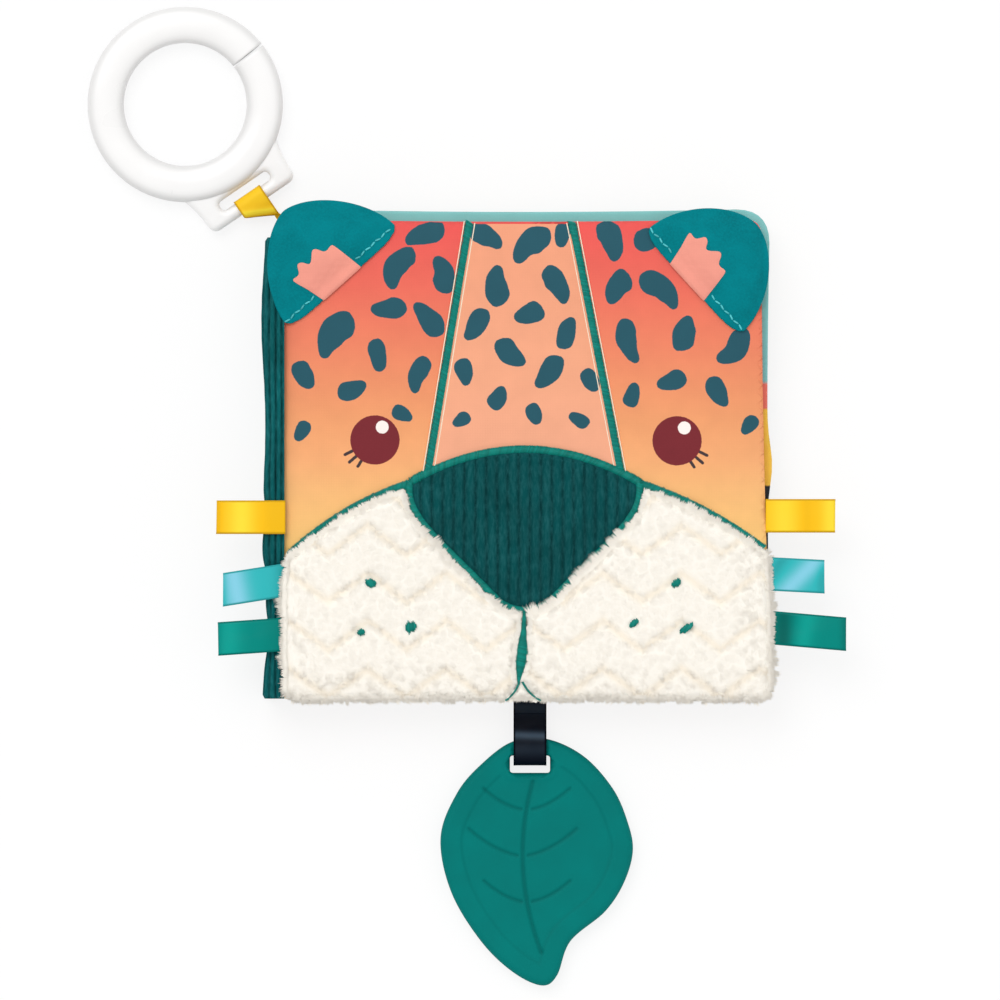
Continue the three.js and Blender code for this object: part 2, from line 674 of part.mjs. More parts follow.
place(
  "teether_strap",
  alongX(
    [
      at(strapEnd, thinLow),
      at(strapEnd + BEND, thinLow),
      at(strapEnd + BEND, strapLow),
      at(strapStart, strapLow),
      at(strapStart, thinLow),
      at(seamY - GAP, thinLow),
      at(seamY - GAP, thinHigh),
      at(strapStart, thinHigh),
      at(strapStart, strapHigh),
      at(strapEnd + BEND, strapHigh),
      at(strapEnd + BEND, thinHigh),
      at(strapEnd, thinHigh),
    ],
    TEETHER_X,
    TEETHER_RIBBON,
  ),
  navySatin,
);

// The leaf's outline from its tip round the right side, over the slotted top and down the left side,
// in shares of its width, from the ribbon's middle, and of its length, from the top
const leafCurve = new THREE.SplineCurve(
  [
    [0.06, 1],
    [0.14, 0.96],
    [0.21, 0.82],
    [0.39, 0.7],
    [0.49, 0.58],
    [0.535, 0.45],
    [0.505, 0.33],
    [0.43, 0.2],
    [0.28, 0.07],
    [0.09, 0],
    [-0.09, 0.01],
    [-0.25, 0.1],
    [-0.38, 0.22],
    [-0.465, 0.4],
    [-0.41, 0.62],
    [-0.255, 0.82],
    [-0.09, 0.945],
    [0.06, 1],
  ].map(([x, y]) => at(x, -y)),
).getPoints(48);
const leafBox = new THREE.Box2().setFromPoints(leafCurve);
const leafSize = leafBox.getSize(at(0, 0));
const leafPoints = leafCurve
  .slice(0, -1)
  .map((p) =>
    at(
      TEETHER_X + (p.x * LEAF_WIDTH) / leafSize.x,
      leafTop - ((leafBox.max.y - p.y) * LEAF_LENGTH) / leafSize.y,
    ),
  );
const slotTop = leafTop - BRIDGE_WIDTH;
const slotMiddle = slotTop - SLOT_WIDTH / 2;
const slot = roundedBox(TEETHER_X, slotMiddle, SLOT_LENGTH, SLOT_WIDTH, SLOT_ROUND);
const channelHalf = TEETHER_RIBBON / 2 + 2 * GAP;
const channelDepth = (LEAF_THICK - BRIDGE_THICK) / 2;
const channel = (low, high) =>
  prism(
    [
      at(TEETHER_X - channelHalf, slotMiddle),
      at(TEETHER_X + channelHalf, slotMiddle),
      at(TEETHER_X + channelHalf, leafTop + LEAF_THICK),
      at(TEETHER_X - channelHalf, leafTop + LEAF_THICK),
    ],
    low,
    high,
  );

// A groove pressed into the leaf's upper face along a curve, with four flat sides
function groove(points, size) {
  const curve = new THREE.CatmullRomCurve3(points.map(([x, y]) => new THREE.Vector3(x, y, LEAF_THICK)));
  const section = [at(size, 0), at(0, size), at(-size, 0), at(0, -size)].map((p) => p.multiplyScalar(0.5));
  const steps = 3 * (points.length - 1);
  return solidOf(
    new THREE.ExtrudeGeometry(new THREE.Shape(section), { steps, extrudePath: curve, bevelEnabled: false }),
  );
}
const midribTop = slotMiddle - SLOT_WIDTH;
const onMidrib = (t) => [
  THREE.MathUtils.lerp(TEETHER_X + 1, TEETHER_X + LEAF_TIP_X, t) + MIDRIB_BOW * 4 * t * (1 - t),
  THREE.MathUtils.lerp(midribTop, leafTop - LEAF_LENGTH + MIDRIB_END, t),
];
let leafSolid = prism(leafPoints, 0, LEAF_THICK, LEAF_ROUND)
  .subtract(prism(slot, -1, LEAF_THICK + 1))
  .subtract(channel(-1, channelDepth))
  .subtract(channel(LEAF_THICK - channelDepth, LEAF_THICK + 1))
  .subtract(groove([0, 0.25, 0.5, 0.75, 1].map(onMidrib), MIDRIB_WIDTH));
for (let i = 0; i < SIDE_VEINS; i++) {
  const [x, y] = onMidrib((i + 0.6) / (SIDE_VEINS + 0.7));
  const reach = SIDE_VEIN * Math.sin((Math.PI * (i + 1.3)) / (SIDE_VEINS + 1.6));
  for (const side of [-1, 1]) {
    const from = x + side * (VEIN + 0.8);
    leafSolid = leafSolid.subtract(
      groove(
        [
          [from, y],
          [from + (side * reach) / 2, y + reach * SIDE_VEIN_RISE[0]],
          [from + side * reach, y + reach * SIDE_VEIN_RISE[1]],
        ],
        VEIN,
      ),
    );
  }
}
place("leaf_teether", leafSolid, silicone);

// The ribbon's loop round the leaf's bridge, seen from the side
const loopOuter = [
  at(loopEnd - BEND, thinLow),
  at(loopEnd, thinLow),
  at(loopEnd, thinHigh),
  at(loopEnd - BEND, thinHigh),
  at(loopEnd - BEND, strapHigh),
  at(bridgeMiddle + innerHalfY, leafZ + innerHalfZ + RIBBON),
  at(bridgeMiddle - innerHalfY, leafZ + innerHalfZ + RIBBON),
  at(bridgeMiddle - innerHalfY - RIBBON, leafZ + innerHalfZ),
  at(bridgeMiddle - innerHalfY - RIBBON, leafZ - innerHalfZ),
  at(bridgeMiddle - innerHalfY, leafZ - innerHalfZ - RIBBON),
  at(bridgeMiddle + innerHalfY, leafZ - innerHalfZ - RIBBON),
  at(loopEnd - BEND, strapLow),
];
const loopInner = [
  at(bridgeMiddle + innerHalfY, leafZ - innerHalfZ),
  at(bridgeMiddle + innerHalfY + TEETHER_NECK * 0.6, leafZ),
  at(bridgeMiddle + innerHalfY, leafZ + innerHalfZ),
  at(bridgeMiddle - innerHalfY, leafZ + innerHalfZ),
  at(bridgeMiddle - innerHalfY, leafZ - innerHalfZ),
];
place(
  "teether_loop",
  alongX(loopOuter, TEETHER_X, TEETHER_RIBBON).subtract(
    alongX(loopInner, TEETHER_X, TEETHER_RIBBON + 2),
  ),
  navySatin,
);

// The ring's strap bends just outside the back cover's corner, and the ring lies beyond it
const baseReach = RING_R + RING_WEB + RING_SLOT_WIDTH + 2 * BAR_R;
const origin = at(0, 0);
const baseWay = at(1, 0).rotateAround(origin, THREE.MathUtils.degToRad(BASE_AT));
const corner = backOutline.reduce((far, p) => (p.dot(baseWay) < far.dot(baseWay) ? p : far));
const ringSeam = corner
  .clone()
  .addScaledVector(baseWay, -2 * GAP)
  .addScaledVector(at(-baseWay.y, baseWay.x), RING_SEAM_SIDE);
const ringCentre = ringSeam.clone().addScaledVector(baseWay, BAR_R - baseReach - RING_STRAP);

// Ring: a round hoop with a rounded section, split on one side, and a slotted base with a round bar
const ringPlace = (solid, lift) =>
  solid.rotate([0, 0, BASE_AT + 90]).translate([ringCentre.x, ringCentre.y, lift]);
const ringSection = Array.from({ length: 12 }, (_, i) => {
  const a = (2 * Math.PI * i) / 12;
  const round = (v) => Math.sign(v) * Math.abs(v) ** 0.7;
  return at(
    RING_R - RING_WIDTH / 2 + (RING_WIDTH / 2) * round(Math.cos(a)),
    (RING_THICK / 2) * round(Math.sin(a)),
  );
});
const hoop = solidOf(new THREE.LatheGeometry([...ringSection, ringSection[0]], 56).rotateX(Math.PI / 2));
const barY = -baseReach + BAR_R;
const flare = BASE_HALF + BASE_FLARE;
const baseTop = -Math.sqrt(RING_R ** 2 - flare ** 2) + RING_WIDTH / 4;
const basePlate = prism(
  [
    at(flare, baseTop),
    at(-flare, baseTop),
    ...arc(-BASE_HALF + BAR_R, barY, BAR_R, 180, 270, 4),
    ...arc(BASE_HALF - BAR_R, barY, BAR_R, 270, 360, 4),
  ],
  -BASE_THICK / 2,
  BASE_THICK / 2,
  BASE_THICK / 5,
);
const middleR = RING_R - RING_WIDTH / 2;
const ringHole = solidOf(
  new THREE.CylinderGeometry(middleR, middleR, 2 * RING_THICK, 56).rotateX(Math.PI / 2),
);
const barSpace = prism(
  [
    at(-RING_SLOT_HALF, -baseReach - 1),
    at(RING_SLOT_HALF, -baseReach - 1),
    at(RING_SLOT_HALF, barY + BAR_R + RING_SLOT_WIDTH),
    at(-RING_SLOT_HALF, barY + BAR_R + RING_SLOT_WIDTH),
  ],
  -RING_THICK,
  RING_THICK,
);
const rod = (radius, length, sides) =>
  solidOf(new THREE.CylinderGeometry(radius, radius, length, sides).rotateZ(Math.PI / 2));
const bar = rod(BAR_R, 2 * (RING_SLOT_HALF + 1), 16).translate([0, barY, 0]);
const split = prism(
  [
    at(0, -RING_SPLIT / 2),
    at(RING_R + RING_WIDTH, -RING_SPLIT / 2),
    at(RING_R + RING_WIDTH, RING_SPLIT / 2),
    at(0, RING_SPLIT / 2),
  ],
  -RING_THICK,
  RING_THICK,
).rotate([0, 0, RING_SPLIT_AT - BASE_AT - 90]);
const ringLift = RING_THICK / 2;
const slottedBase = basePlate.subtract(ringHole).subtract(barSpace).add(bar);
place(
  "ring",
  ringPlace(hoop, ringLift).add(ringPlace(slottedBase, BASE_MIDDLE)).subtract(ringPlace(split, ringLift)),
  plastic,
);

// The ring's ribbon: a loop round the bar that narrows to a flat strap, ending at the back cover's corner
const loopR = BAR_R + GAP;
const ringStrapProfile = [
  ...arc(0, 0, loopR + RIBBON, -165, 165, 20),
  at(-loopR - RIBBON - LOOP, LOOP / 2),
  at(-RING_STRAP + LOOP / 2, LOOP / 2),
  at(-RING_STRAP + LOOP / 2, TAG_INSIDE / 2),
  at(-RING_STRAP - GAP, TAG_INSIDE / 2),
  at(-RING_STRAP - GAP, -TAG_INSIDE / 2),
  at(-RING_STRAP + LOOP / 2, -TAG_INSIDE / 2),
  at(-RING_STRAP + LOOP / 2, -LOOP / 2),
  at(-loopR - RIBBON - LOOP, -LOOP / 2),
];
const ringStrap = alongX(ringStrapProfile, 0, RING_RIBBON).subtract(rod(loopR, 2 * RING_RIBBON, 20));
place("ring_strap", ringPlace(ringStrap.translate([0, barY, 0]), BASE_MIDDLE), satin.yellow);

export default group;
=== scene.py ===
"""A soft cloth activity book for a baby, shaped as the face of a spotted cat, with a ring and a leaf teether.

Lengths are millimetres in the code and metres in Blender. +X runs from the spine to the free edge,
+Y to the top of the face and +Z up from the table.
"""

import json
import math

import bmesh
import bpy
import numpy as np
from bpy.props import FloatProperty, FloatVectorProperty, IntProperty, PointerProperty
from mathutils import Vector, noise
from mathutils.geometry import delaunay_2d_cdt
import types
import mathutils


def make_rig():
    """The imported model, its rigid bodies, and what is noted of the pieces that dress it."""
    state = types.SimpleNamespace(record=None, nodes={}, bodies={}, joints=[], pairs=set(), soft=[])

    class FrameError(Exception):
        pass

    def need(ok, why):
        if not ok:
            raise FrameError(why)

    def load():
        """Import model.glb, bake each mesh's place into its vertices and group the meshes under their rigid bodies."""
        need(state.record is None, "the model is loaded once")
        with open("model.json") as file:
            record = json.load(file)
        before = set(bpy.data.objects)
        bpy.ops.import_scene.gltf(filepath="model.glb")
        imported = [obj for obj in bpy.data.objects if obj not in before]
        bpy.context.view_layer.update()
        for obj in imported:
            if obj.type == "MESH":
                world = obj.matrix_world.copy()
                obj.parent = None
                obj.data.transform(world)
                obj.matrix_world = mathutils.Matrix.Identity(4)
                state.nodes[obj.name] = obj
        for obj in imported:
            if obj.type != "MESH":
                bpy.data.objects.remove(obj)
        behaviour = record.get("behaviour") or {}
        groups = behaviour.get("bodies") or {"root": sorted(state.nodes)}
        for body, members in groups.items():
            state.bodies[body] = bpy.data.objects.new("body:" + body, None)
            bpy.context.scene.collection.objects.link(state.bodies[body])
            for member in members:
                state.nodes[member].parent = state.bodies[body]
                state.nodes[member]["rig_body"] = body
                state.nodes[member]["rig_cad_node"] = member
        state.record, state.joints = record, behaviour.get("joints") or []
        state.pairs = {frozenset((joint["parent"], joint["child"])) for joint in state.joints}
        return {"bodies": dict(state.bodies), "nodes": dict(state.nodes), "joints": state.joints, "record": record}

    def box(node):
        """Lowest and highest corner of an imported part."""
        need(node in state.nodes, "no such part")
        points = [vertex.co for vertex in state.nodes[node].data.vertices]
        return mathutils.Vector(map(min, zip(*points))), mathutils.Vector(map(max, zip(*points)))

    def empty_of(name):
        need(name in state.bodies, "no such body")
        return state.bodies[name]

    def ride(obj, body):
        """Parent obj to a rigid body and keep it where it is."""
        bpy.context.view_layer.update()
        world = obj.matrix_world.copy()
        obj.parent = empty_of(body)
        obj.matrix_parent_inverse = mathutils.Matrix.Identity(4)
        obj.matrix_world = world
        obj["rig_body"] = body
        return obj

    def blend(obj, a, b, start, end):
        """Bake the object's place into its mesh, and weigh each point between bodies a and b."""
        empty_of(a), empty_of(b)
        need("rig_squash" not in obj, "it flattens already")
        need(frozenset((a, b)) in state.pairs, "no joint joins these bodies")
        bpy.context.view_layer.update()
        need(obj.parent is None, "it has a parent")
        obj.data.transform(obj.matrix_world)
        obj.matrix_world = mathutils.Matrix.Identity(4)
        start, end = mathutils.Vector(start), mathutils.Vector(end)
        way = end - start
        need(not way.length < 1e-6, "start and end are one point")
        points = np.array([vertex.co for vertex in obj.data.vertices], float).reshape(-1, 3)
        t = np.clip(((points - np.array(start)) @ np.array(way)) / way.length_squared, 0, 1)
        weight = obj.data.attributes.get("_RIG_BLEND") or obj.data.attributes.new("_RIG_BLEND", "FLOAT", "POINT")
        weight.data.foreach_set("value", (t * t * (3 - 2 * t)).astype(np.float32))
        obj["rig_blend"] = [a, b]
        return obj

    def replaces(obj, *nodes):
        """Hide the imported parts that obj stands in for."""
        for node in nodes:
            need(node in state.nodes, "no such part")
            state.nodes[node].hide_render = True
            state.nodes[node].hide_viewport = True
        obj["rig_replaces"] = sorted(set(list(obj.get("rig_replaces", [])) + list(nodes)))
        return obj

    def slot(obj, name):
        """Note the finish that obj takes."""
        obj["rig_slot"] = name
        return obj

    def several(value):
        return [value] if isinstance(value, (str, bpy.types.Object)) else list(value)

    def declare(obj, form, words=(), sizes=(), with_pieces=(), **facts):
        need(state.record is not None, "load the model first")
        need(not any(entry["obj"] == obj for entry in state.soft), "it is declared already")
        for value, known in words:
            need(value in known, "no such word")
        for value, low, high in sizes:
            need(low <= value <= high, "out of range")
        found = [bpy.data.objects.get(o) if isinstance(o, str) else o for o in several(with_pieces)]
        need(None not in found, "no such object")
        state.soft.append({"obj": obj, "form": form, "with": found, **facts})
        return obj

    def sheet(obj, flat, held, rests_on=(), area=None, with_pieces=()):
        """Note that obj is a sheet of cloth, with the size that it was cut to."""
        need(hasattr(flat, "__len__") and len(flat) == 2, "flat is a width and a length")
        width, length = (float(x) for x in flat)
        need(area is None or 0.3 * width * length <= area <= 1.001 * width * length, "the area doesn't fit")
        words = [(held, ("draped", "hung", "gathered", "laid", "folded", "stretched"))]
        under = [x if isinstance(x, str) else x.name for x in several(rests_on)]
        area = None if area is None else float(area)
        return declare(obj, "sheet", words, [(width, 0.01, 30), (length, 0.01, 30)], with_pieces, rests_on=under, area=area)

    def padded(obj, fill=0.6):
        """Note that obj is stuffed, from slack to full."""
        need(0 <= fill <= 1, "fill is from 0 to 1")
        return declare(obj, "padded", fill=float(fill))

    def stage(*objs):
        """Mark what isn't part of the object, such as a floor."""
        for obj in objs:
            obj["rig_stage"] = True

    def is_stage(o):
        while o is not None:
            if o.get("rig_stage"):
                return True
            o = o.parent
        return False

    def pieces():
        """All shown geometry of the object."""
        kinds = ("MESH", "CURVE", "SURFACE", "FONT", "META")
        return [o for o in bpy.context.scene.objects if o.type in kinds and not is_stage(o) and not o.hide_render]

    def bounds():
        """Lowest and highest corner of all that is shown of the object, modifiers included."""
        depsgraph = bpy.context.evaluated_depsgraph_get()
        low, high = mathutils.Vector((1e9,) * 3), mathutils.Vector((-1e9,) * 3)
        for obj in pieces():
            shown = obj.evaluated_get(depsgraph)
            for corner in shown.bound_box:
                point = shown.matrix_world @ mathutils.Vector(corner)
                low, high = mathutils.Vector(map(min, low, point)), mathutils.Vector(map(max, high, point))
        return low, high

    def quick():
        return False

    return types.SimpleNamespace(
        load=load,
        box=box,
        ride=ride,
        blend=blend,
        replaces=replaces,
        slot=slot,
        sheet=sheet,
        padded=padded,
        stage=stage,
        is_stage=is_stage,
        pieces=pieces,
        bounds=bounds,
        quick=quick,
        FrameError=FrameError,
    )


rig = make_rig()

bl_info = {
    "name": "Baby activity book",
    "version": (1, 0, 0),
    "blender": (4, 5, 0),
    "location": "3D View > Sidebar > Cloth book",
    "description": "Builds a soft cloth book with flap ears, ribbon tags, a leaf teether and a ring",
    "category": "Add Mesh",
}

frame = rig.load()
CAD_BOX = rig.bounds()
MM = 0.001
# Further than any motif reaches
FAR = 50.0


def node_box(node):
    """Lowest and highest corner of a CAD node at rest, in millimetres to a hundredth."""
    return [[round(v / MM, 2) for v in corner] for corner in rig.box(node)]


def node_size(node):
    """Width, length and height of a CAD node."""
    return [round(high - low, 2) for low, high in zip(*node_box(node))]


# Where each joint turns, in millimetres
JOINTS = {joint["name"]: [round(v / MM, 2) for v in joint["pos_m"]] for joint in frame["joints"]}

# What the picture shows: its width at the height of the face, and its middle
CAMERA_HEIGHT = 6000
PICTURE_WIDTH = 357.14
PICTURE_Z = 23
PICTURE_MIDDLE = (-7.14, -14.64)

# Lamps: name, strength, width in degrees and where they shine from
LAMPS = (("key", 1.2, 40, (-0.5, 0.9, 1.5)), ("fill", 0.32, 70, (0.9, -0.5, 1.2)))
FLOOR_HALF = 3000

# Leaves of the book: half of each one's thickness, its cloth, and the height of its middle
COVER_HALF = node_size("back_cover_cloth")[2]
PAGE_HALF = node_size("page_1_front_cloth")[2]
CLOTH = 0.8
BACK_Z = JOINTS["spine_fold"][2]
PAGE_2_Z = JOINTS["page_2_turn"][2]
PAGE_1_Z = JOINTS["page_1_turn"][2]
HINGE_X, _, FRONT_Z = JOINTS["front_cover_turn"]
SPINE_OUT = node_box("spine_cloth")[0][0]
# The ribs reach a little past the cloth's cut ends
SPINE_BOTTOM = node_box("spine_cloth")[0][1] - 0.1
SPINE_TOP = node_box("spine_cloth")[1][1] + 0.2
MARGIN_RIGHT = node_box("front_margin_strip")[1][0]
# Height of the tags where they lie on the corduroy strip
STRIP_TOP = 24.0

# Face
(NOSE_LEFT, NOSE_TIP, _), (NOSE_RIGHT, NOSE_TOP, _) = node_box("nose")
FACE_X = round((NOSE_LEFT + NOSE_RIGHT) / 2, 2)
NOSE_HALF = round((NOSE_RIGHT - NOSE_LEFT) / 2, 2)
NOSE_SHOULDER = -8.4
FOREHEAD_TOP = (-18.0, 18.6)
FOREHEAD_LOW = (-32.9, 36.1)
EYES = {"left": (-51.8, 6.8), "right": (56.1, 6.5)}
# Embroidered dots on the plush: place and size
WHISKER_DOTS = (
    (-53.2, -44.3, 3.6), (-56.8, -61.8, 2.6), (-38.9, -60.0, 4.2),
    (55.7, -44.3, 3.4), (40.7, -58.6, 3.2), (59.3, -60.4, 4.4),
)  # fmt: skip
# Ears: the way that each points, half the width and the height of its arch, and how square the arch is
EARS = {
    "left": {"outward": 131.8, "half": 26.3, "height": 30.2, "power": 1.62},
    "right": {"outward": 42.5, "half": 25.0, "height": 29.2, "power": 1.72},
}
# How far an ear's cloth reaches past its stitching
HEM = 3.0
# Outline of the fan in each ear: along the hem's stitching, and outwards from it
INNER_EAR = (
    (7.3, -3.3), (7.2, -2.6), (6.2, 3.5), (5.2, 8.6), (4.4, 9.6), (2.3, 9.3), (1.0, 9.8),
    (-0.4, 12.2), (-1.9, 12.6), (-4.4, 10.3), (-5.9, 9.9), (-7.4, 12.0), (-9.1, 12.4), (-10.6, 10.0),
    (-11.8, 9.4), (-13.6, 9.6), (-13.9, 8.4), (-12.3, 3.5), (-10.7, -2.6), (-10.6, -3.3), (-8, -3.4),
    (-5, -3.4), (-1.6, -3.4), (2, -3.4), (5, -3.4),
)  # fmt: skip

# Ribbons, teether and ring
# How many degrees each tag slants
TAG_SLANTS = {
    "left": {"yellow": 0, "turquoise": 9, "green": 4},
    "right": {"yellow": 0, "turquoise": -3, "green": -5},
}
# Painted highlights along each tag, with painted shade where the strength is below zero: place and width as shares of
# its length, slant across it, and strength
GLEAMS = {
    "left_yellow": ((0.62, 0.2, 0.0, 1.0), (0.98, 0.06, 0.0, -0.25), (0.1, 0.3, 0.0, -0.12)),
    "left_turquoise": ((0.78, 0.19, 0.05, 1.0), (0.98, 0.05, 0.0, -0.25), (0.0, 0.16, 0.0, -0.3)),
    "left_green": ((0.82, 0.2, 0.0, 0.8), (0.98, 0.05, 0.0, -0.3), (0.05, 0.2, 0.0, -0.2)),
    "right_yellow": ((0.2, 0.22, 0.0, 0.8), (0.92, 0.14, 0.0, 0.9), (0.52, 0.1, 0.0, -0.14)),
    "right_turquoise": ((0.55, 0.22, 0.3, 1.0), (0.94, 0.1, 0.0, -0.3), (0.0, 0.14, 0.2, -0.35)),
    "right_green": ((0.42, 0.14, 0.05, 0.75), (0.12, 0.16, 0.0, -0.75), (0.97, 0.06, 0.0, -0.4)),
}
TEETHER_X, _, LEAF_Z = JOINTS["teether_swing"]
LEAF_TOP = node_box("leaf_teether")[1][1]
LEAF_SIZE = node_size("leaf_teether")[:2]
LEAF_SLOT = {"top": LEAF_TOP - 6.4, "x": 6.2, "y": 2.1, "corner": 1}
# The hoop: radius to the middle of its section, half the section's width and height, and half its split
HOOP_RADIUS = 28.5
HOOP_WIDE = 6.5
HOOP_THICK = node_size("ring")[2] / 2
HOOP_SPLIT = 0.35
HOOP_SPLIT_AT = 38
RING_RIBBON = 11.2
# The ring's base: the way that it faces, the reach of its bar, its corners and its slot
BASE_AT = -55.5
BAR_REACH = 41.8
BAR_X, BAR_Y, BASE_Z = JOINTS["ring_swing"]
RING_MIDDLE = (
    round(BAR_X - BAR_REACH * math.cos(math.radians(BASE_AT)), 2),
    round(BAR_Y - BAR_REACH * math.sin(math.radians(BASE_AT)), 2),
)
BASE_TOP = (23.0, 3.2 - math.sqrt(35**2 - 23**2))
BASE_LOW = -44.2
BASE_LOW_HALF = 18
BASE_CORNER = 3
BASE_SLOT = {"half": 10.5, "corner": 1.4, "low": 4.8, "high": 8.4}


def linear(hexa):
    """A colour written as sRGB, such as #1f5a52, in the linear values that Blender's nodes take."""
    values = [int(hexa[i : i + 2], 16) / 255 for i in (1, 3, 5)]
    return tuple(v / 12.92 if v <= 0.04045 else ((v + 0.055) / 1.055) ** 2.4 for v in values)


def swatch(name, description, hexa):
    """A colour setting in the panel."""
    return FloatVectorProperty(
        name=name, description=description, subtype="COLOR", size=3, min=0, max=1, default=linear(hexa)
    )


def length(name, description, millimetres):
    """A length setting in the panel."""
    return FloatProperty(
        name=name, description=description, default=millimetres * MM, min=0, unit="LENGTH", subtype="DISTANCE"
    )


class ClothBookColours(bpy.types.PropertyGroup):
    """Colours of the cloths, threads, ribbons and mouldings."""

    blots: swatch("Spots", "Ink of the printed spots", "#1e5766")
    eye: swatch("Eyes", "Ink of the printed eyes", "#7d222b")
    stitching: swatch("Satin stitch", "Embroidery thread round the panels", "#04867a")
    corduroy: swatch("Corduroy", "Pile of the nose and the spine", "#045052")
    velour: swatch("Ears", "Velour of the ear flaps", "#007c85")
    inner_ear: swatch("Inner ears", "Cloth sewn on the ear flaps", "#f39c8a")
    plush: swatch("Plush", "Pile of the muzzle", "#fffaf0")
    page: swatch("First page", "Cloth of the upper page", "#7cc0be")
    second_page: swatch("Second page", "Cloth of the lower page", "#f6c14a")
    lining: swatch("Lining", "Cloth inside the covers", "#e8705c")
    # Each ribbon's gleam colour below is that satin's painted highlight
    yellow: swatch("Yellow ribbon", "Satin of the yellow tags", "#fcc21c")
    yellow_gleam: swatch("Yellow gleam", "The yellow satin where it turns to the light", "#fde03c")
    turquoise: swatch("Turquoise ribbon", "Satin of the turquoise tags", "#35b8bc")
    turquoise_gleam: swatch("Turquoise gleam", "The turquoise satin where it turns to the light", "#86cfe4")
    green: swatch("Green ribbon", "Satin of the green tags", "#00887e")
    green_gleam: swatch("Green gleam", "The green satin where it turns to the light", "#0ca295")
    navy: swatch("Navy ribbon", "Satin that holds the teether", "#080e1a")
    silicone: swatch("Teether", "Pigment of the silicone leaf", "#007873")
    plastic: swatch("Ring", "Moulded plastic of the ring", "#fdfcfb")
    floor: swatch("Floor", "Paper under the book", "#ffffff")


class ClothBookSizes(bpy.types.PropertyGroup):
    """Sizes of stitches, ribs and pile."""

    stitch_pitch: length("Satin stitch pitch", "From one embroidery thread to the next", 0.46)
    stitch_width: length("Satin stitch width", "Across an embroidered border", 3.5)
    nose_wale: length("Nose rib", "From one rib of the nose's corduroy to the next", 3.9)
    spine_wale: length("Spine rib", "From one rib of the spine's corduroy to the next", 2.1)
    chevron_pitch: length("Chevron pitch", "From one zigzag of the plush to the next", 17.0)
    chevron_width: length("Chevron width", "Across one V of the zigzag", 28.0)
    pile: length("Pile height", "Length of the plush's tufts above their ground", 1.7)
    tufts: IntProperty(name="Tufts", description="Tufts of plush on each half", default=52000, min=100)
    ribbon_width: length("Ribbon width", "Across a tag's ribbon", 12.0)


# Outlines and distances


def arc(x, y, r, start, end, steps):
    """Points of an arc about a centre, both ends included."""
    a = np.radians(np.linspace(start, end, steps + 1))
    return np.c_[x + r * np.cos(a), y + r * np.sin(a)]


def smooth_loop(corners, steps):
    """A closed curve through corners, with steps points to each side."""
    p = np.asarray(corners, float)
    a, b, c, d = np.roll(p, 1, 0), p, np.roll(p, -1, 0), np.roll(p, -2, 0)
    rows = [
        0.5 * (2 * b + (c - a) * t + (2 * a - 5 * b + 4 * c - d) * t**2 + (3 * b - a - 3 * c + d) * t**3)
        for t in np.arange(steps) / steps
    ]
    return np.stack(rows, 1).reshape(-1, 2)


def bezier(points, steps):
    """Points along a quadratic or cubic curve, both ends included."""
    t = np.linspace(0, 1, steps + 1)[:, None]
    rows = [np.asarray(p, float)[None] for p in points]
    while len(rows) > 1:
        rows = [a + (b - a) * t for a, b in zip(rows, rows[1:])]
    return rows[0]


def unit(vectors):
    """The same vectors with a length of 1."""
    return vectors / np.linalg.norm(vectors, axis=1)[:, None]


def distances(path):
    """How far along a path each of its points lies."""
    return np.concatenate([[0], np.cumsum(np.linalg.norm(np.diff(path, axis=0), axis=1))])


def smoothed(path, rounds):
    """A path with its corners rounded off, and its ends where they were."""
    for _ in range(rounds):
        path[1:-1] = 0.25 * path[:-2] + 0.5 * path[1:-1] + 0.25 * path[2:]
    return path


def resampled(path, step, closed=False):
    """A path with its points about a step apart."""
    path = np.asarray(path, float)
    if closed:
        path = np.concatenate([path, path[:1]])
    s = distances(path)
    count = max(2, int(round(s[-1] / step)))
    t = np.linspace(0, s[-1], count + 1)
    made = np.stack([np.interp(t, s, path[:, k]) for k in range(path.shape[1])], 1)
    return made[:-1] if closed else made


def nearest(points, path, closed=True):
    """How far each point is from a path, and how far along the path its nearest place lies."""
    starts, ends = (path, np.roll(path, -1, 0)) if closed else (path[:-1], path[1:])
    best = np.full(len(points), 1e9)
    along = np.zeros(len(points))
    passed = 0.0
    for a, b in zip(starts, ends):
        side = b - a
        size = float(np.hypot(*side))
        t = np.clip((points - a) @ side / max(size * size, 1e-12), 0, 1)
        gap = points - a - t[:, None] * side
        away = np.hypot(gap[:, 0], gap[:, 1])
        closer = away < best
        best[closer] = away[closer]
        along[closer] = passed + t[closer] * size
        passed += size
    return best, along


def inside(points, loop):
    """Which points lie in a closed outline."""
    x, y = points.T
    hit = np.zeros(len(points), bool)
    for (ax, ay), (bx, by) in zip(loop, np.roll(loop, -1, 0)):
        if ay != by:
            crosses = (ay > y) != (by > y)
            hit ^= crosses & (x < (bx - ax) * (y - ay) / (by - ay) + ax)
    return hit


def signed(points, loop):
    """Distance to an outline, below zero within it."""
    away = nearest(points, loop)[0]
    return np.where(inside(points, loop), -away, away)


def grown(loop, distance):
    """An outline moved outwards along the normals at its corners."""
    along = unit(np.roll(loop, -1, 0) - np.roll(loop, 1, 0))
    return loop + distance * np.c_[along[:, 1], -along[:, 0]]


def anticlockwise(loop):
    """The same outline, running anticlockwise."""
    x, y = np.asarray(loop, float).T
    area = np.sum(x * np.roll(y, -1) - np.roll(x, -1) * y)
    return np.asarray(loop, float)[:: 1 if area > 0 else -1]


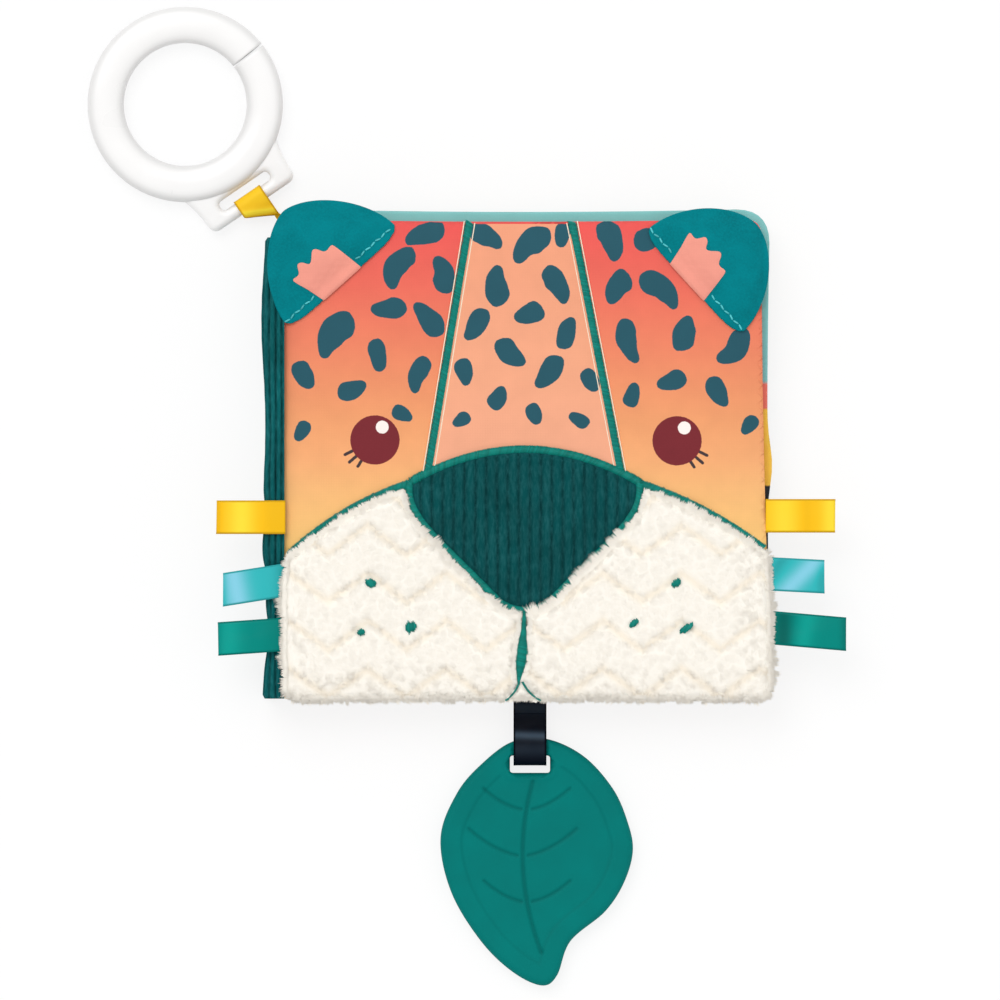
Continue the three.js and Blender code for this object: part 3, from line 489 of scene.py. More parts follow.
def leaf_outline(left, right_low, right_high, bottom, top, corner, draw_in=0.9):
    """A four-sided outline with round corners, drawn in between them on its three free sides."""
    corners = np.array([(left, bottom), (right_low, bottom), (right_high, top), (left, top)], float)
    points = []
    for i, here in enumerate(corners):
        before, after = corners[i - 1], corners[(i + 1) % 4]
        back = (before - here) / np.linalg.norm(before - here)
        ahead = (after - here) / np.linalg.norm(after - here)
        start, end, following = here + back * corner, here + ahead * corner, after - ahead * corner
        points.extend(bezier([start, here, end], 7))
        inward = np.array([-ahead[1], ahead[0]])
        for t in np.linspace(0, 1, 34)[1:-1]:
            bow = 0 if i == 3 else draw_in * 4 * t * (1 - t)
            points.append(end + (following - end) * t + inward * bow)
    return np.array(points)


def lattice(left, bottom, right, top, step):
    """Points a step apart in staggered rows over a rectangle."""
    rows = np.arange(bottom, top, step * 0.866)
    x, y = np.meshgrid(np.arange(left, right, step), rows)
    x = x + (np.arange(len(rows)) % 2)[:, None] * step / 2
    return np.c_[x.ravel(), y.ravel()]


def fill(outline, step, holes=(), insets=(), dense=()):
    """Points and triangles of a flat shape about a step apart, its outlines first, each as a row of indices.

    dense lists discs with points closer together, each as x, y, radius and step.
    """
    loops = [anticlockwise(outline)] + [anticlockwise(h)[::-1] for h in holes]
    rims = [grown(loop, -inset) for loop in loops for inset in insets]
    grid = lattice(*loops[0].min(0), *loops[0].max(0), step)
    for x, y, radius, finer in dense:
        disc = lattice(x - radius, y - radius, x + radius, y + radius, finer)
        disc = disc[np.hypot(disc[:, 0] - x, disc[:, 1] - y) < radius]
        grid = np.concatenate([grid[np.hypot(grid[:, 0] - x, grid[:, 1] - y) > radius + step / 3], disc])
    keep = inside(grid, loops[0])
    for hole in loops[1:]:
        keep &= ~inside(grid, hole)
    grid = grid[keep]
    margin = max([0.0, *insets]) + step * 0.6
    for loop in loops:
        grid = grid[nearest(grid, loop)[0] > margin]
    points = np.concatenate([*loops, *rims, grid])
    edges, chains, first = [], [], 0
    for loop in loops:
        chain = np.arange(first, first + len(loop))
        edges += list(zip(chain.tolist(), np.roll(chain, -1).tolist()))
        chains.append(chain)
        first += len(loop)
    made = delaunay_2d_cdt([Vector(p) for p in points], edges, [], 1, 1e-7)
    flat = np.array([v[:] for v in made[0]])
    triangles = np.array(made[2])
    whole = {old: new for new, olds in enumerate(made[3]) for old in olds}
    chains = [np.array([whole[i] for i in chain.tolist()]) for chain in chains]
    a, b, c = (flat[triangles[:, k]] for k in range(3))
    turned = np.cross(b - a, c - a) < 0
    triangles[turned] = triangles[turned][:, ::-1]
    middle = (a + b + c) / 3
    for hole in loops[1:]:
        keep = ~inside(middle, hole)
        triangles, middle = triangles[keep], middle[keep]
    return flat, triangles, chains


def from_rim(flat, loop):
    """How far each point lies from a shape's rim, with 0 on it, and how far along the rim."""
    inset, along = nearest(flat, loop)
    return np.where(inset < 1e-6, 0, inset), along


def rough(points, size, seed=0.0):
    """Smooth noise between about -1 and 1 at each point, with a size in millimetres."""
    x, y = points[:, 0] / size + seed, points[:, 1] / size - seed
    return np.array([noise.noise(place) for place in np.c_[x, y, np.zeros(len(points))]])


def bell(value, width):
    """1 where a value is 0, falling smoothly on both sides of it."""
    return np.exp(-((value / width) ** 2))


def rounded(inset, radius):
    """Height of a rounded edge as a share of its radius, from 0 on the rim to 1 a radius in from it."""
    return np.sqrt(1 - np.clip(1 - inset / radius, 0, 1) ** 2)


def smoothstep(value, low, high):
    """0 below low, 1 above high, and smooth between."""
    t = np.clip((value - low) / (high - low), 0, 1)
    return t * t * (3 - 2 * t)


# Meshes

# All of a row but its last item, and all but its first
LESS, MORE = slice(None, -1), slice(1, None)


def make_mesh(name, points, faces, materials, slots=None, **values):
    """A smooth object from points in millimetres and arrays of faces.

    values holds, by name, a number at each point for the material to read.
    """
    faces = [f for f in (faces if isinstance(faces, list) else [faces]) if len(f)]
    sizes = np.concatenate([np.full(len(f), f.shape[1]) for f in faces])
    corners = np.concatenate([np.asarray(f).ravel() for f in faces]).astype(np.int32)
    mesh = bpy.data.meshes.new(name)
    mesh.vertices.add(len(points))
    mesh.vertices.foreach_set("co", (np.asarray(points) * MM).astype(np.float32).ravel())
    mesh.loops.add(len(corners))
    mesh.loops.foreach_set("vertex_index", corners)
    mesh.polygons.add(len(sizes))
    mesh.polygons.foreach_set("loop_start", np.concatenate([[0], np.cumsum(sizes)[:-1]]).astype(np.int32))
    mesh.polygons.foreach_set("use_smooth", np.ones(len(sizes), bool))
    for material in materials if isinstance(materials, (list, tuple)) else [materials]:
        mesh.materials.append(material)
    if slots is not None:
        mesh.polygons.foreach_set("material_index", np.asarray(slots, np.int32))
    for key, value in values.items():
        mesh.attributes.new(key, "FLOAT", "POINT").data.foreach_set("value", np.asarray(value, np.float32))
    mesh.update(calc_edges=True)
    mesh.validate()
    made = bpy.data.objects.new(name, mesh)
    bpy.context.scene.collection.objects.link(made)
    return made


def slab(name, flat, triangles, chains, top, bottom, materials, under=0, **values):
    """A closed piece between two heights over a flat shape. under is the material slot of its lower side."""
    n = len(flat)
    points = np.concatenate([np.c_[flat, top], np.c_[flat, bottom]])
    walls = [np.stack([c + n, np.roll(c, -1) + n, np.roll(c, -1), c], 1) for c in chains]
    faces = [triangles, triangles[:, ::-1] + n, *walls]
    slots = np.zeros(sum(len(f) for f in faces), int)
    slots[len(triangles) : 2 * len(triangles)] = under
    both = {key: np.concatenate([v, v]) if len(v) == n else v for key, v in values.items()}
    return make_mesh(name, points, faces, materials, slots, **both)


def skin(name, flat, triangles, heights, materials, **values):
    """An open sheet at a height over a flat shape."""
    return make_mesh(name, np.c_[flat, heights], triangles, materials, **values)


def flat_area(flat, triangles):
    """Area of a flat shape in square metres."""
    a, b, c = (flat[triangles[:, k]] for k in range(3))
    return float(np.abs(np.cross(b - a, c - a)).sum() / 2) * MM * MM


def both_sides(rows, columns):
    """Faces of a grid's upper side and, reversed, of its lower side, and the upper points' indices."""
    index = np.arange(rows * columns).reshape(rows, columns)
    a, b, c, d = (index[i, j].ravel() for i, j in ((LESS, LESS), (LESS, MORE), (MORE, MORE), (MORE, LESS)))
    return [np.stack([a, b, c, d], 1), np.stack([d, c, b, a], 1) + rows * columns], index


def swept(name, path, across, width, thick, material, steps, gleam, wave=None, shear=0.0):
    """A ribbon: a strip of a width and thickness along a path.

    The painted light at each place gives a painted highlight, or painted shade below zero, and wave how far the strip
    is lifted there.
    """
    path = np.asarray(path, float)
    across = np.asarray(across, float)
    normal = unit(np.cross(unit(np.gradient(path, axis=0)), across))
    v = np.linspace(-1, 1, steps + 1)
    s, v_all = np.meshgrid(distances(path), v, indexing="ij")
    bump = np.zeros(s.shape) if wave is None else wave(s, v_all)
    # the woven edges are a little thicker than the middle
    half = thick / 2 * (1 + 0.35 * (np.abs(v) > 0.9))
    middle = path[:, None] + across * (width / 2 * v)[None, :, None] + normal[:, None] * bump[..., None]
    raised = normal[:, None] * half[None, :, None]
    points = np.concatenate([side.reshape(-1, 3) for side in (middle + raised, middle - raised)])
    points[:, 1] += (points[:, 0] - path[0, 0]) * shear
    faces, index = both_sides(*s.shape)
    for edge, flip in ((index[:, 0], 1), (index[:, -1], 0), (index[0], 0), (index[-1], 1)):
        p, q = (edge[MORE], edge[LESS]) if flip else (edge[LESS], edge[MORE])
        faces.append(np.stack([p, q, q + index.size, p + index.size], 1))
    values = {"across": np.tile(v_all.ravel(), 2), "along": np.tile(s.ravel(), 2)}
    values["gleam"] = gleam(points, values["across"])
    return face_out(make_mesh(name, points, faces, material, **values))


def face_out(made):
    """The same piece with all its faces turned outwards."""
    work = bmesh.new()
    work.from_mesh(made.data)
    bmesh.ops.recalc_face_normals(work, faces=work.faces)
    work.to_mesh(made.data)
    work.free()
    return made


# Materials


def add_node(tree, kind, inputs=(), **settings):
    """A node with its settings, and its inputs given as values or as other nodes' outputs."""
    node = tree.nodes.new("ShaderNode" + kind)
    for key, value in settings.items():
        setattr(node, key, value)
    for key, value in dict(inputs).items():
        if isinstance(value, bpy.types.NodeSocket):
            tree.links.new(value, node.inputs[key])
        else:
            node.inputs[key].default_value = value
    return node


# Sockets of the shader whose names are not written as their settings are
SOCKETS = {"ior": "IOR", "specular_ior_level": "Specular IOR Level"}


def new_material(name, **shader):
    """An empty material with its shader's own values, and its tree and shader."""
    material = bpy.data.materials.get(name)
    if material:
        return material, None, None
    material = bpy.data.materials.new(name)
    material.use_nodes = True
    tree = material.node_tree
    surface = tree.nodes["Principled BSDF"]
    for key, value in shader.items():
        surface.inputs[SOCKETS.get(key, key.replace("_", " ").title())].default_value = value
    return material, tree, surface


def ink(colour):
    """A colour with full alpha."""
    return (*colour, 1.0)


def mixed(tree, factor, one, two, blend="MIX"):
    """Two colours mixed by a factor."""
    node = add_node(tree, "Mix", data_type="RGBA", blend_type=blend)
    for index, value in ((0, factor), (6, one), (7, two)):
        if isinstance(value, bpy.types.NodeSocket):
            tree.links.new(value, node.inputs[index])
        else:
            node.inputs[index].default_value = value
    return node.outputs[2]


def printed_on(tree, attribute, soft=0.12):
    """1 within a motif, from its distance in millimetres at each point, and 0 outside it."""
    edge = ranged(tree, speckle(tree, 0.8, 1.0), 0.0, 1.0, -0.12, 0.12)
    away = computed(tree, "ADD", stored(tree, attribute), edge)
    return ranged(tree, away, -soft, soft, 1.0, 0.0, True)


def coordinates(tree):
    """Places on the piece as it was made, in metres."""
    return add_node(tree, "TexCoord").outputs["Object"]


def stored(tree, name):
    """A value that the mesh holds at each point."""
    return add_node(tree, "Attribute", attribute_name=name).outputs["Fac"]


def speckle(tree, millimetres, detail, place=None, **more):
    """Noise with a grain of some millimetres."""
    inputs = {"Vector": coordinates(tree) if place is None else place, "Scale": 1 / (millimetres * MM)}
    return add_node(tree, "TexNoise", {**inputs, "Detail": detail, **more}).outputs["Fac"]


def ranged(tree, value, low, high, start, end, smooth=False):
    """A value taken from one range to another."""
    kind = "SMOOTHSTEP" if smooth else "LINEAR"
    inputs = {"Value": value, 1: low, 2: high, 3: start, 4: end}
    return add_node(tree, "MapRange", inputs, interpolation_type=kind).outputs[0]


def computed(tree, operation, *values):
    """The result of a sum on values."""
    return add_node(tree, "Math", dict(enumerate(values)), operation=operation).outputs[0]


def times(colour, share):
    """A colour made darker or lighter, with full alpha."""
    return ink(tuple(c * share for c in colour))


def wave_scale(millimetres):
    """Scale of a wave texture with its bands some millimetres apart, which at scale 1 are 2 pi / 20 m."""
    return 2 * math.pi / 20 / (millimetres * MM)


def weave(tree, spacing):
    """Height of a plain weave with its threads a spacing apart, from 0 to 1."""
    inputs = {"Vector": coordinates(tree), "Scale": wave_scale(spacing), "Distortion": 0.4, "Detail": 1.0}
    inputs["Detail Scale"] = 2.0
    waves = (add_node(tree, "TexWave", inputs, bands_direction=way).outputs["Fac"] for way in ("X", "Y"))
    return computed(tree, "MULTIPLY", *waves)


def bumped(tree, surface, height, distance, strength):
    """Relief of a distance in millimetres on a shader."""
    node = add_node(tree, "Bump", {"Height": height, "Distance": distance * MM, "Strength": strength})
    tree.links.new(node.outputs[0], surface.inputs["Normal"])


def cloth_finish(tree, surface, base):
    """Plain-woven polyester over a base colour: threads, faint slubs and a soft relief."""
    # Threads lie 0.3 mm apart in the real cloth, too fine to show, so they are drawn 0.9 mm apart.
    threads = weave(tree, 0.9)
    tone = ranged(tree, speckle(tree, 9, 3.0), 0.3, 0.7, 0.97, 1.03)
    both = computed(tree, "MULTIPLY", tone, ranged(tree, threads, 0.0, 1.0, 0.985, 1.01))
    shade = add_node(tree, "CombineColor", {0: both, 1: both, 2: both}).outputs[0]
    tree.links.new(mixed(tree, 1.0, base, shade, "MULTIPLY"), surface.inputs["Base Color"])
    bumped(tree, surface, threads, 0.05, 0.4)


def printed_cloth(name, stops, motifs):
    """Printed polyester cloth: a gradient in Y given as (millimetres, sRGB) stops, and motifs over it."""
    # Printed plain weave: matt, with the ink sunk into the threads so its edges are slightly ragged.
    material, tree, surface = new_material(name, roughness=0.82, ior=1.45)
    if not tree:
        return material
    place = add_node(tree, "SeparateXYZ", {0: coordinates(tree)})
    low, high = stops[0][0], stops[-1][0]
    share = ranged(tree, place.outputs["Y"], low * MM, high * MM, 0.0, 1.0)
    ramp = add_node(tree, "ValToRGB", {"Fac": share})
    colours = ramp.color_ramp.elements
    colours.remove(colours[1])
    for i, (y, hexa) in enumerate(stops):
        t = (y - low) / (high - low)
        element = colours.new(t) if i else colours[0]
        element.position = t
        element.color = ink(linear(hexa))
    base = ramp.outputs["Color"]
    for attribute, colour in motifs:
        base = mixed(tree, printed_on(tree, attribute), base, ink(colour))
    cloth_finish(tree, surface, base)
    return material


def plain_cloth(name, colour, second=None):
    """Dyed polyester cloth, with printed slanting bands of a second colour if one is given."""
    # Plain weave dyed in one colour: matt and slightly fuzzy.
    material, tree, surface = new_material(name, roughness=0.85, ior=1.45)
    if not tree:
        return material
    base = add_node(tree, "RGB").outputs[0]
    base.default_value = ink(colour)
    if second:
        inputs = {"Vector": coordinates(tree), "Scale": wave_scale(44), "Distortion": 1.5, "Detail": 0.0}
        bands = add_node(tree, "TexWave", inputs, bands_direction="DIAGONAL").outputs["Fac"]
        base = mixed(tree, ranged(tree, bands, 0.8, 0.83, 0.0, 1.0, True), base, ink(second))
    cloth_finish(tree, surface, base)
    return material


def pile_fabric(name, colour, crown=1.0, valley=0.3):
    """Corduroy: cut pile in ribs, with painted shade in the valleys and fibres that lie along the ribs."""
    # Cut cotton pile: very matt, with a painted highlight on the top of each rib.
    sheen = {"sheen_weight": 0.08, "sheen_roughness": 0.45, "sheen_tint": ink(colour)}
    material, tree, surface = new_material(name, roughness=0.95, specular_ior_level=0.12, ior=1.45, **sheen)
    if not tree:
        return material
    place = add_node(tree, "Mapping", {"Vector": coordinates(tree), "Scale": (1, 0.25, 1)}).outputs[0]
    fibres = speckle(tree, 0.9, 4.0, place, Roughness=0.65)
    # Painted shade in the valleys between ribs and painted highlight on their tops, from the rib height
    dark = times(colour, valley)
    body = mixed(tree, ranged(tree, stored(tree, "rib"), 0.0, 1.0, 0.0, 1.0), dark, times(colour, crown))
    light = ink(tuple(c * 1.6 * crown + 0.02 for c in colour))
    pile = mixed(tree, ranged(tree, fibres, 0.42, 0.78, 0.0, 0.7), body, light)
    mottle = ranged(tree, speckle(tree, 14, 2.0), 0.3, 0.7, 0.0, 0.35)
    tree.links.new(mixed(tree, mottle, pile, dark), surface.inputs["Base Color"])
    bumped(tree, surface, fibres, 0.35, 0.8)
    return material


def velour(name, colour):
    """Short-pile velour: an even nap with soft brushed patches."""
    # Knitted polyester with a sheared nap about 1 mm high: matt, with a soft glow at grazing angles.
    sheen = {"sheen_weight": 0.05, "sheen_roughness": 0.4, "sheen_tint": ink(colour)}
    material, tree, surface = new_material(name, roughness=0.92, specular_ior_level=0.12, ior=1.4, **sheen)
    if not tree:
        return material
    nap = speckle(tree, 0.7, 3.0)
    brushed = ranged(tree, speckle(tree, 11, 3.0, Distortion=0.6), 0.3, 0.7, 0.0, 1.0)
    base = mixed(tree, brushed, times(colour, 0.82), times(colour, 1.08))
    fleck = ranged(tree, nap, 0.35, 0.7, 0.0, 0.5)
    tree.links.new(mixed(tree, fleck, base, times(colour, 1.25)), surface.inputs["Base Color"])
    bumped(tree, surface, nap, 0.3, 0.7)
    return material


def thread(name, colour):
    """Embroidery thread, each one a little lighter or darker than the next."""
    # Twisted polyester filament: smooth and glossy along each thread.
    gloss = {"anisotropic": 0.4, "specular_ior_level": 0.25}
    material, tree, surface = new_material(name, roughness=0.42, ior=1.5, **gloss)
    if not tree:
        return material
    base = mixed(tree, stored(tree, "own"), times(colour, 0.78), times(colour, 1.18))
    tree.links.new(base, surface.inputs["Base Color"])
    bumped(tree, surface, speckle(tree, 0.35, 2.0), 0.05, 0.5)
    return material


def plush_pile(name, colour):
    """Brushed plush: tufts that differ a little in tone, with warm painted shade in the partings."""
    # Brushed polyester pile: matt, and pale enough that light is scattered into its hollows.
    sheen = {"sheen_weight": 0.2, "sheen_roughness": 0.5}
    material, tree, surface = new_material(name, roughness=0.9, ior=1.45, **sheen)
    if not tree:
        return material
    # The warm colour is both the darker tone of some tufts and the painted shade in the partings
    warm = tuple(c * k for c, k in zip(colour, (0.95, 0.89, 0.8)))
    tree.links.new(mixed(tree, stored(tree, "own"), ink(warm), ink(colour)), surface.inputs["Base Color"])
    bumped(tree, surface, speckle(tree, 0.8, 3.0), 0.1, 0.3)
    return material


def satin(name, colour, bright):
    """Satin ribbon: glossy floats, fine weft lines, a firm edge, and painted highlights and painted shade where it
    bends.
    """
    # Satin-woven polyester: gloss stretched along the ribbon. Its weft is 0.2 mm, drawn 0.5 mm to show.
    gloss = {"anisotropic": 0.6, "specular_ior_level": 0.08}
    material, tree, surface = new_material(name, roughness=0.38, ior=1.5, **gloss)
    if not tree:
        return material
    edge = ranged(tree, computed(tree, "ABSOLUTE", stored(tree, "across")), 0.86, 0.93, 0.0, 1.0)
    weft = computed(tree, "SINE", computed(tree, "MULTIPLY", stored(tree, "along"), 2 * math.pi / 0.5))
    gleam = stored(tree, "gleam")
    # Painted highlight towards the lighter colour, and painted shade towards a darker copy of the satin where the
    # value is below zero
    base = mixed(tree, ranged(tree, gleam, 0.0, 1.0, 0.0, 1.0), ink(colour), ink(bright))
    base = mixed(tree, ranged(tree, gleam, 0.0, -1.0, 0.0, 1.0), base, times(colour, 0.35))
    base = mixed(tree, edge, base, times(colour, 0.72))
    tree.links.new(base, surface.inputs["Base Color"])
    bumped(tree, surface, ranged(tree, weft, -1.0, 1.0, 0.0, 1.0), 0.03, 0.5)
    return material


def moulded_silicone(name, colour):
    """Moulded silicone rubber: satin, with a faint grain from its mould, a little dust, and painted shade in its
    grooves.
    """
    # Pigmented silicone from a bead-blasted mould: nearly matt, with a faint bloom of dust.
    material, tree, surface = new_material(name, ior=1.41, specular_ior_level=0.08)
    if not tree:
        return material
    cloud = speckle(tree, 16, 4.0)
    base = mixed(tree, ranged(tree, cloud, 0.3, 0.7, 0.0, 1.0), times(colour, 0.93), times(colour, 1.05))
    # Painted shade in the veins' grooves and along the border
    base = mixed(tree, stored(tree, "groove"), base, times(colour, 0.62))
    tree.links.new(base, surface.inputs["Base Color"])
    tree.links.new(ranged(tree, cloud, 0.3, 0.7, 0.55, 0.66), surface.inputs["Roughness"])
    bumped(tree, surface, speckle(tree, 0.5, 2.0), 0.02, 0.4)
    return material


def moulded_plastic(name, colour):
    """Moulded ABS: white, smooth, with faint flow marks, and painted shade on its steep sides."""
    # Injection-moulded ABS: even gloss that dulls a little along its flow marks.
    material, tree, surface = new_material(name, ior=1.54)
    if not tree:
        return material
    flow = speckle(tree, 22, 3.0, Distortion=0.8)
    base = mixed(tree, ranged(tree, flow, 0.3, 0.7, 0.0, 1.0), times(colour, 0.975), ink(colour))
    # Painted shade: the steep sides are darker than the top
    base = mixed(tree, stored(tree, "worn"), base, times(colour, 0.8))
    tree.links.new(base, surface.inputs["Base Color"])
    tree.links.new(ranged(tree, flow, 0.3, 0.7, 0.26, 0.36), surface.inputs["Roughness"])
    bumped(tree, surface, speckle(tree, 1.5, 1.0), 0.01, 0.4)
    return material


# Shapes that several pieces follow

(COVER_LEFT, COVER_BOTTOM, _), (_, COVER_TOP, _) = node_box("front_cover_cloth")
# Its free side leans in towards the top
COVER = leaf_outline(COVER_LEFT, 90.1, 86.2, COVER_BOTTOM, COVER_TOP, 6.0)


def nose_outline():
    """A low arch over two sides that meet in a round tip, anticlockwise from the right shoulder."""
    left, right = (FACE_X - NOSE_HALF, NOSE_SHOULDER), (FACE_X + NOSE_HALF, NOSE_SHOULDER)
    peak = (FACE_X, 2 * NOSE_TOP - NOSE_SHOULDER)
    tips = {-1: (FACE_X - 9, NOSE_TIP + 3), 1: (FACE_X + 9, NOSE_TIP + 3)}

    def side(shoulder, sign):
        x, y = shoulder
        below = (x + sign * 1.6, y - NOSE_HALF * 0.3)
        fuller = (x - sign * NOSE_HALF * 0.22, y - NOSE_HALF * 0.46)
        return bezier([shoulder, below, fuller, tips[sign]], 28)

    tip = bezier([tips[-1], (FACE_X, NOSE_TIP - 3), tips[1]], 12)
    loop = [*bezier([right, peak, left], 40), *side(left, -1)[1:], *tip[1:-1], *side(right, 1)[1:][::-1]]
    return np.array(loop)


NOSE = nose_outline()
FOREHEAD_SIDES = {
    "left": np.array([(FOREHEAD_TOP[0], 84.6), (FOREHEAD_LOW[0], NOSE_SHOULDER + 2.6)]),
    "right": np.array([(FOREHEAD_TOP[1], 84.6), (FOREHEAD_LOW[1], NOSE_SHOULDER + 2.6)]),
}
BROWS = {
    "left": bezier([(FACE_X - 37.1, -7.6), (FACE_X - 63.5, -15.5), (-82.8, -34)], 24),
    "right": bezier([(FACE_X + 37.1, -7.6), (FACE_X + 63.5, -15.5), (88.9, -33)], 24),
}


def half_height(inset, half):
    """Half the thickness of a sewn leaf at a distance from its rim."""
    rim = CLOTH * rounded(inset, CLOTH)
    roll = 0.88 * np.sin(math.pi / 2 * np.clip((inset - 0.8) / 13, 0, 1))
    return rim + (half - CLOTH) * (roll + 0.12 * np.clip(inset / 86, 0, 1))


def wale_height(x, pitch):
    """Height of a rib across corduroy, from 0 in the valley to 1 on top."""
    return np.sqrt(np.abs(np.sin(math.pi * x / pitch)))


def puckers(inset, along, size, seed):
    """Small folds that run in from a seam."""
    fold = rough(np.c_[along, np.full_like(along, seed)], size)
    return fold * bell(inset - 4.5, 4.5)


def face_height(points):
    """Height of the front cover's cloth above the table."""
    points = np.asarray(points, float)[:, :2]
    rim, along = nearest(points, COVER)
    inset = np.where(inside(points, COVER), rim, 0)
    seams = nearest(points, NOSE)[0]
    for line in (*FOREHEAD_SIDES.values(), *BROWS.values()):
        seams = np.minimum(seams, nearest(points, line, False)[0])
    inner = smoothstep(inset, 2, 16)
    height = FRONT_Z + half_height(inset, COVER_HALF)
    height += inner * (0.5 * (1 - np.exp(-seams / 8)) - 0.75 * bell(seams, 1.9))
    height += 0.3 * puckers(inset, along, 6.5, 3.1)
    height += 0.22 * inner * rough(points, 24, 1.7)
    return height


def blot(x, y, size, width, turn, bend, lean=0.0):
    """Outline of a bent pebble whose far end is fuller by a share, lean."""
    t = np.linspace(0, 1, 33)
    heading = np.radians(turn) + np.radians(bend) * (t - 0.5)
    step = np.c_[np.cos(heading), np.sin(heading)] * size / (len(t) - 1)
    middle = np.cumsum(step, axis=0)
    middle += np.array([x, y]) - middle.mean(0)
    half = width / 2 * np.sqrt(np.clip(1 - (2 * t - 1) ** 2, 0, 1)) ** 0.8 * (1 + lean * (2 * t - 1))
    wobble = [1 + 0.22 * rough(middle + (side * 3, 0), 5.0, size + side) for side in (1, -1)]
    normal = np.c_[-np.sin(heading), np.cos(heading)]
    left, right = (normal * (half * side)[:, None] for side in wobble)
    return np.concatenate([middle + left, (middle - right)[-2:0:-1]])


# Printed spots of each panel: place, size along and across, turn and bend in degrees, and fuller end
SPOTS = {
    "left": (
        (-34, 80, 15, 7.5, 20, -40, 0.3), (-28, 66, 14, 7.5, 100, 60, -0.3), (-43, 68, 17, 8, 60, -110, 0.25),
        (-47, 54, 13, 7, 5, 50, 0.3), (-33, 50, 15, 7.5, 125, 50, -0.35), (-66, 44, 19, 9.5, 55, -70, 0.35),
        (-51, 37, 12, 6.5, 100, 30, 0.2), (-77, 30, 11, 7, 120, -30, 0.25), (-36, 30, 14, 6.4, 70, -60, 0.3),
        (-60, 25, 11, 6.5, 20, 40, -0.3), (-78, 10, 8, 5, 60, 20, 0.2), (-42, 16, 8, 5.4, 150, 20, 0.3),
    ),
    "right": (
        (32, 78, 16, 8, 110, 70, 0.3), (46, 79, 11, 8, 10, 30, -0.2), (35, 61, 13, 8, 60, -50, 0.35),
        (50, 60, 18, 8, 140, 90, 0.3), (59, 45, 13, 8, 80, -40, -0.3), (39, 42, 17, 7, 105, -60, 0.3),
        (76, 40, 16, 8, 50, 110, 0.25), (54, 28, 11, 6.5, 20, 30, 0.3), (71, 24, 12, 6.5, 115, -40, 0.3),
        (40, 23, 9, 6, 75, 20, -0.3), (82, 12, 8, 5, 50, 10, 0.2),
    ),
    "forehead": (
        (-12, 79, 13, 7, 150, 60, 0.3), (4, 76, 17, 8.5, 40, -90, 0.3), (15, 80, 9, 6, 80, 20, 0.2),
        (-8, 62, 15, 8, 95, -50, -0.3), (13, 62, 15, 7.5, 120, 60, 0.35), (3, 52, 11, 7.5, 20, 30, 0.3),
        (-16, 48, 13, 7, 60, 60, 0.3), (17, 45, 12, 6.6, 75, -40, -0.3), (-3, 38, 13, 7.5, 135, -70, 0.35),
        (-20, 31, 10, 6, 100, 20, 0.25), (10, 31, 14, 7.4, 55, 60, 0.3), (25, 28, 9, 6, 120, 20, 0.2),
        (-8, 22, 9, 6, 60, 30, -0.3), (5, 16, 8, 5.4, 110, 20, 0.3), (-21, 14, 7, 4.8, 30, 10, 0.2),
        (21, 14, 8, 5, 150, 20, -0.2),
    ),
}  # fmt: skip


def spots_at(points, panels):
    """Distance to the nearest printed spot of some panels."""
    away = np.full(len(points), FAR)
    for panel in panels:
        for spot in SPOTS[panel]:
            loop = blot(*spot)
            near = np.hypot(points[:, 0] - spot[0], points[:, 1] - spot[1]) < 18
            away[near] = np.minimum(away[near], signed(points[near], loop))
    return away


def eyes_at(points):
    """Distances to the eyes' discs, to their glints and to their lashes."""
    disc, glint, lash = (np.full(len(points), FAR) for _ in range(3))
    for side, (x, y) in EYES.items():
        sign = -1 if side == "left" else 1
        disc = np.minimum(disc, np.hypot(points[:, 0] - x, points[:, 1] - y) - 8.8)
        glint = np.minimum(glint, np.hypot(points[:, 0] - x - 2.6, points[:, 1] - y - 4.6) - 2.3)
        for turn, reach in ((206, 11.9), (221, 12.1), (237, 11.2)):
            a = math.radians(turn if sign < 0 else 180 - turn)
            line = np.outer([8.6, reach], [math.cos(a), math.sin(a)]) + (x, y)
            lash = np.minimum(lash, nearest(points, line, False)[0] - 0.55)
    return disc, glint, lash


# Stitches


def tubes(name, rows, radii, material, own, sides=5):
    """Threads: a tube along each row of points. radii holds one radius for each point of a row."""
    rows = np.asarray(rows, float)
    along = np.gradient(rows, axis=1)
    along /= np.linalg.norm(along, axis=2)[..., None] + 1e-12
    up = np.array([0, 0, 1.0])
    side = np.cross(along, up)
    side /= np.linalg.norm(side, axis=2)[..., None] + 1e-12
    lift = np.cross(side, along)
    angles = np.linspace(0, 2 * math.pi, sides, endpoint=False)
    ring = side[..., None, :] * np.cos(angles)[:, None] + lift[..., None, :] * np.sin(angles)[:, None]
    points = rows[..., None, :] + ring * np.asarray(radii, float)[:, None, None]
    count, steps = rows.shape[:2]
    index = np.arange(count * steps * sides).reshape(count, steps, sides)
    a, b = index[:, :-1], index[:, 1:]
    faces = np.stack([a, b, np.roll(b, -1, 2), np.roll(a, -1, 2)], -1).reshape(-1, 4)
    values = np.repeat(own, steps * sides)
    return make_mesh(name, points.reshape(-1, 3), faces, material, own=values)


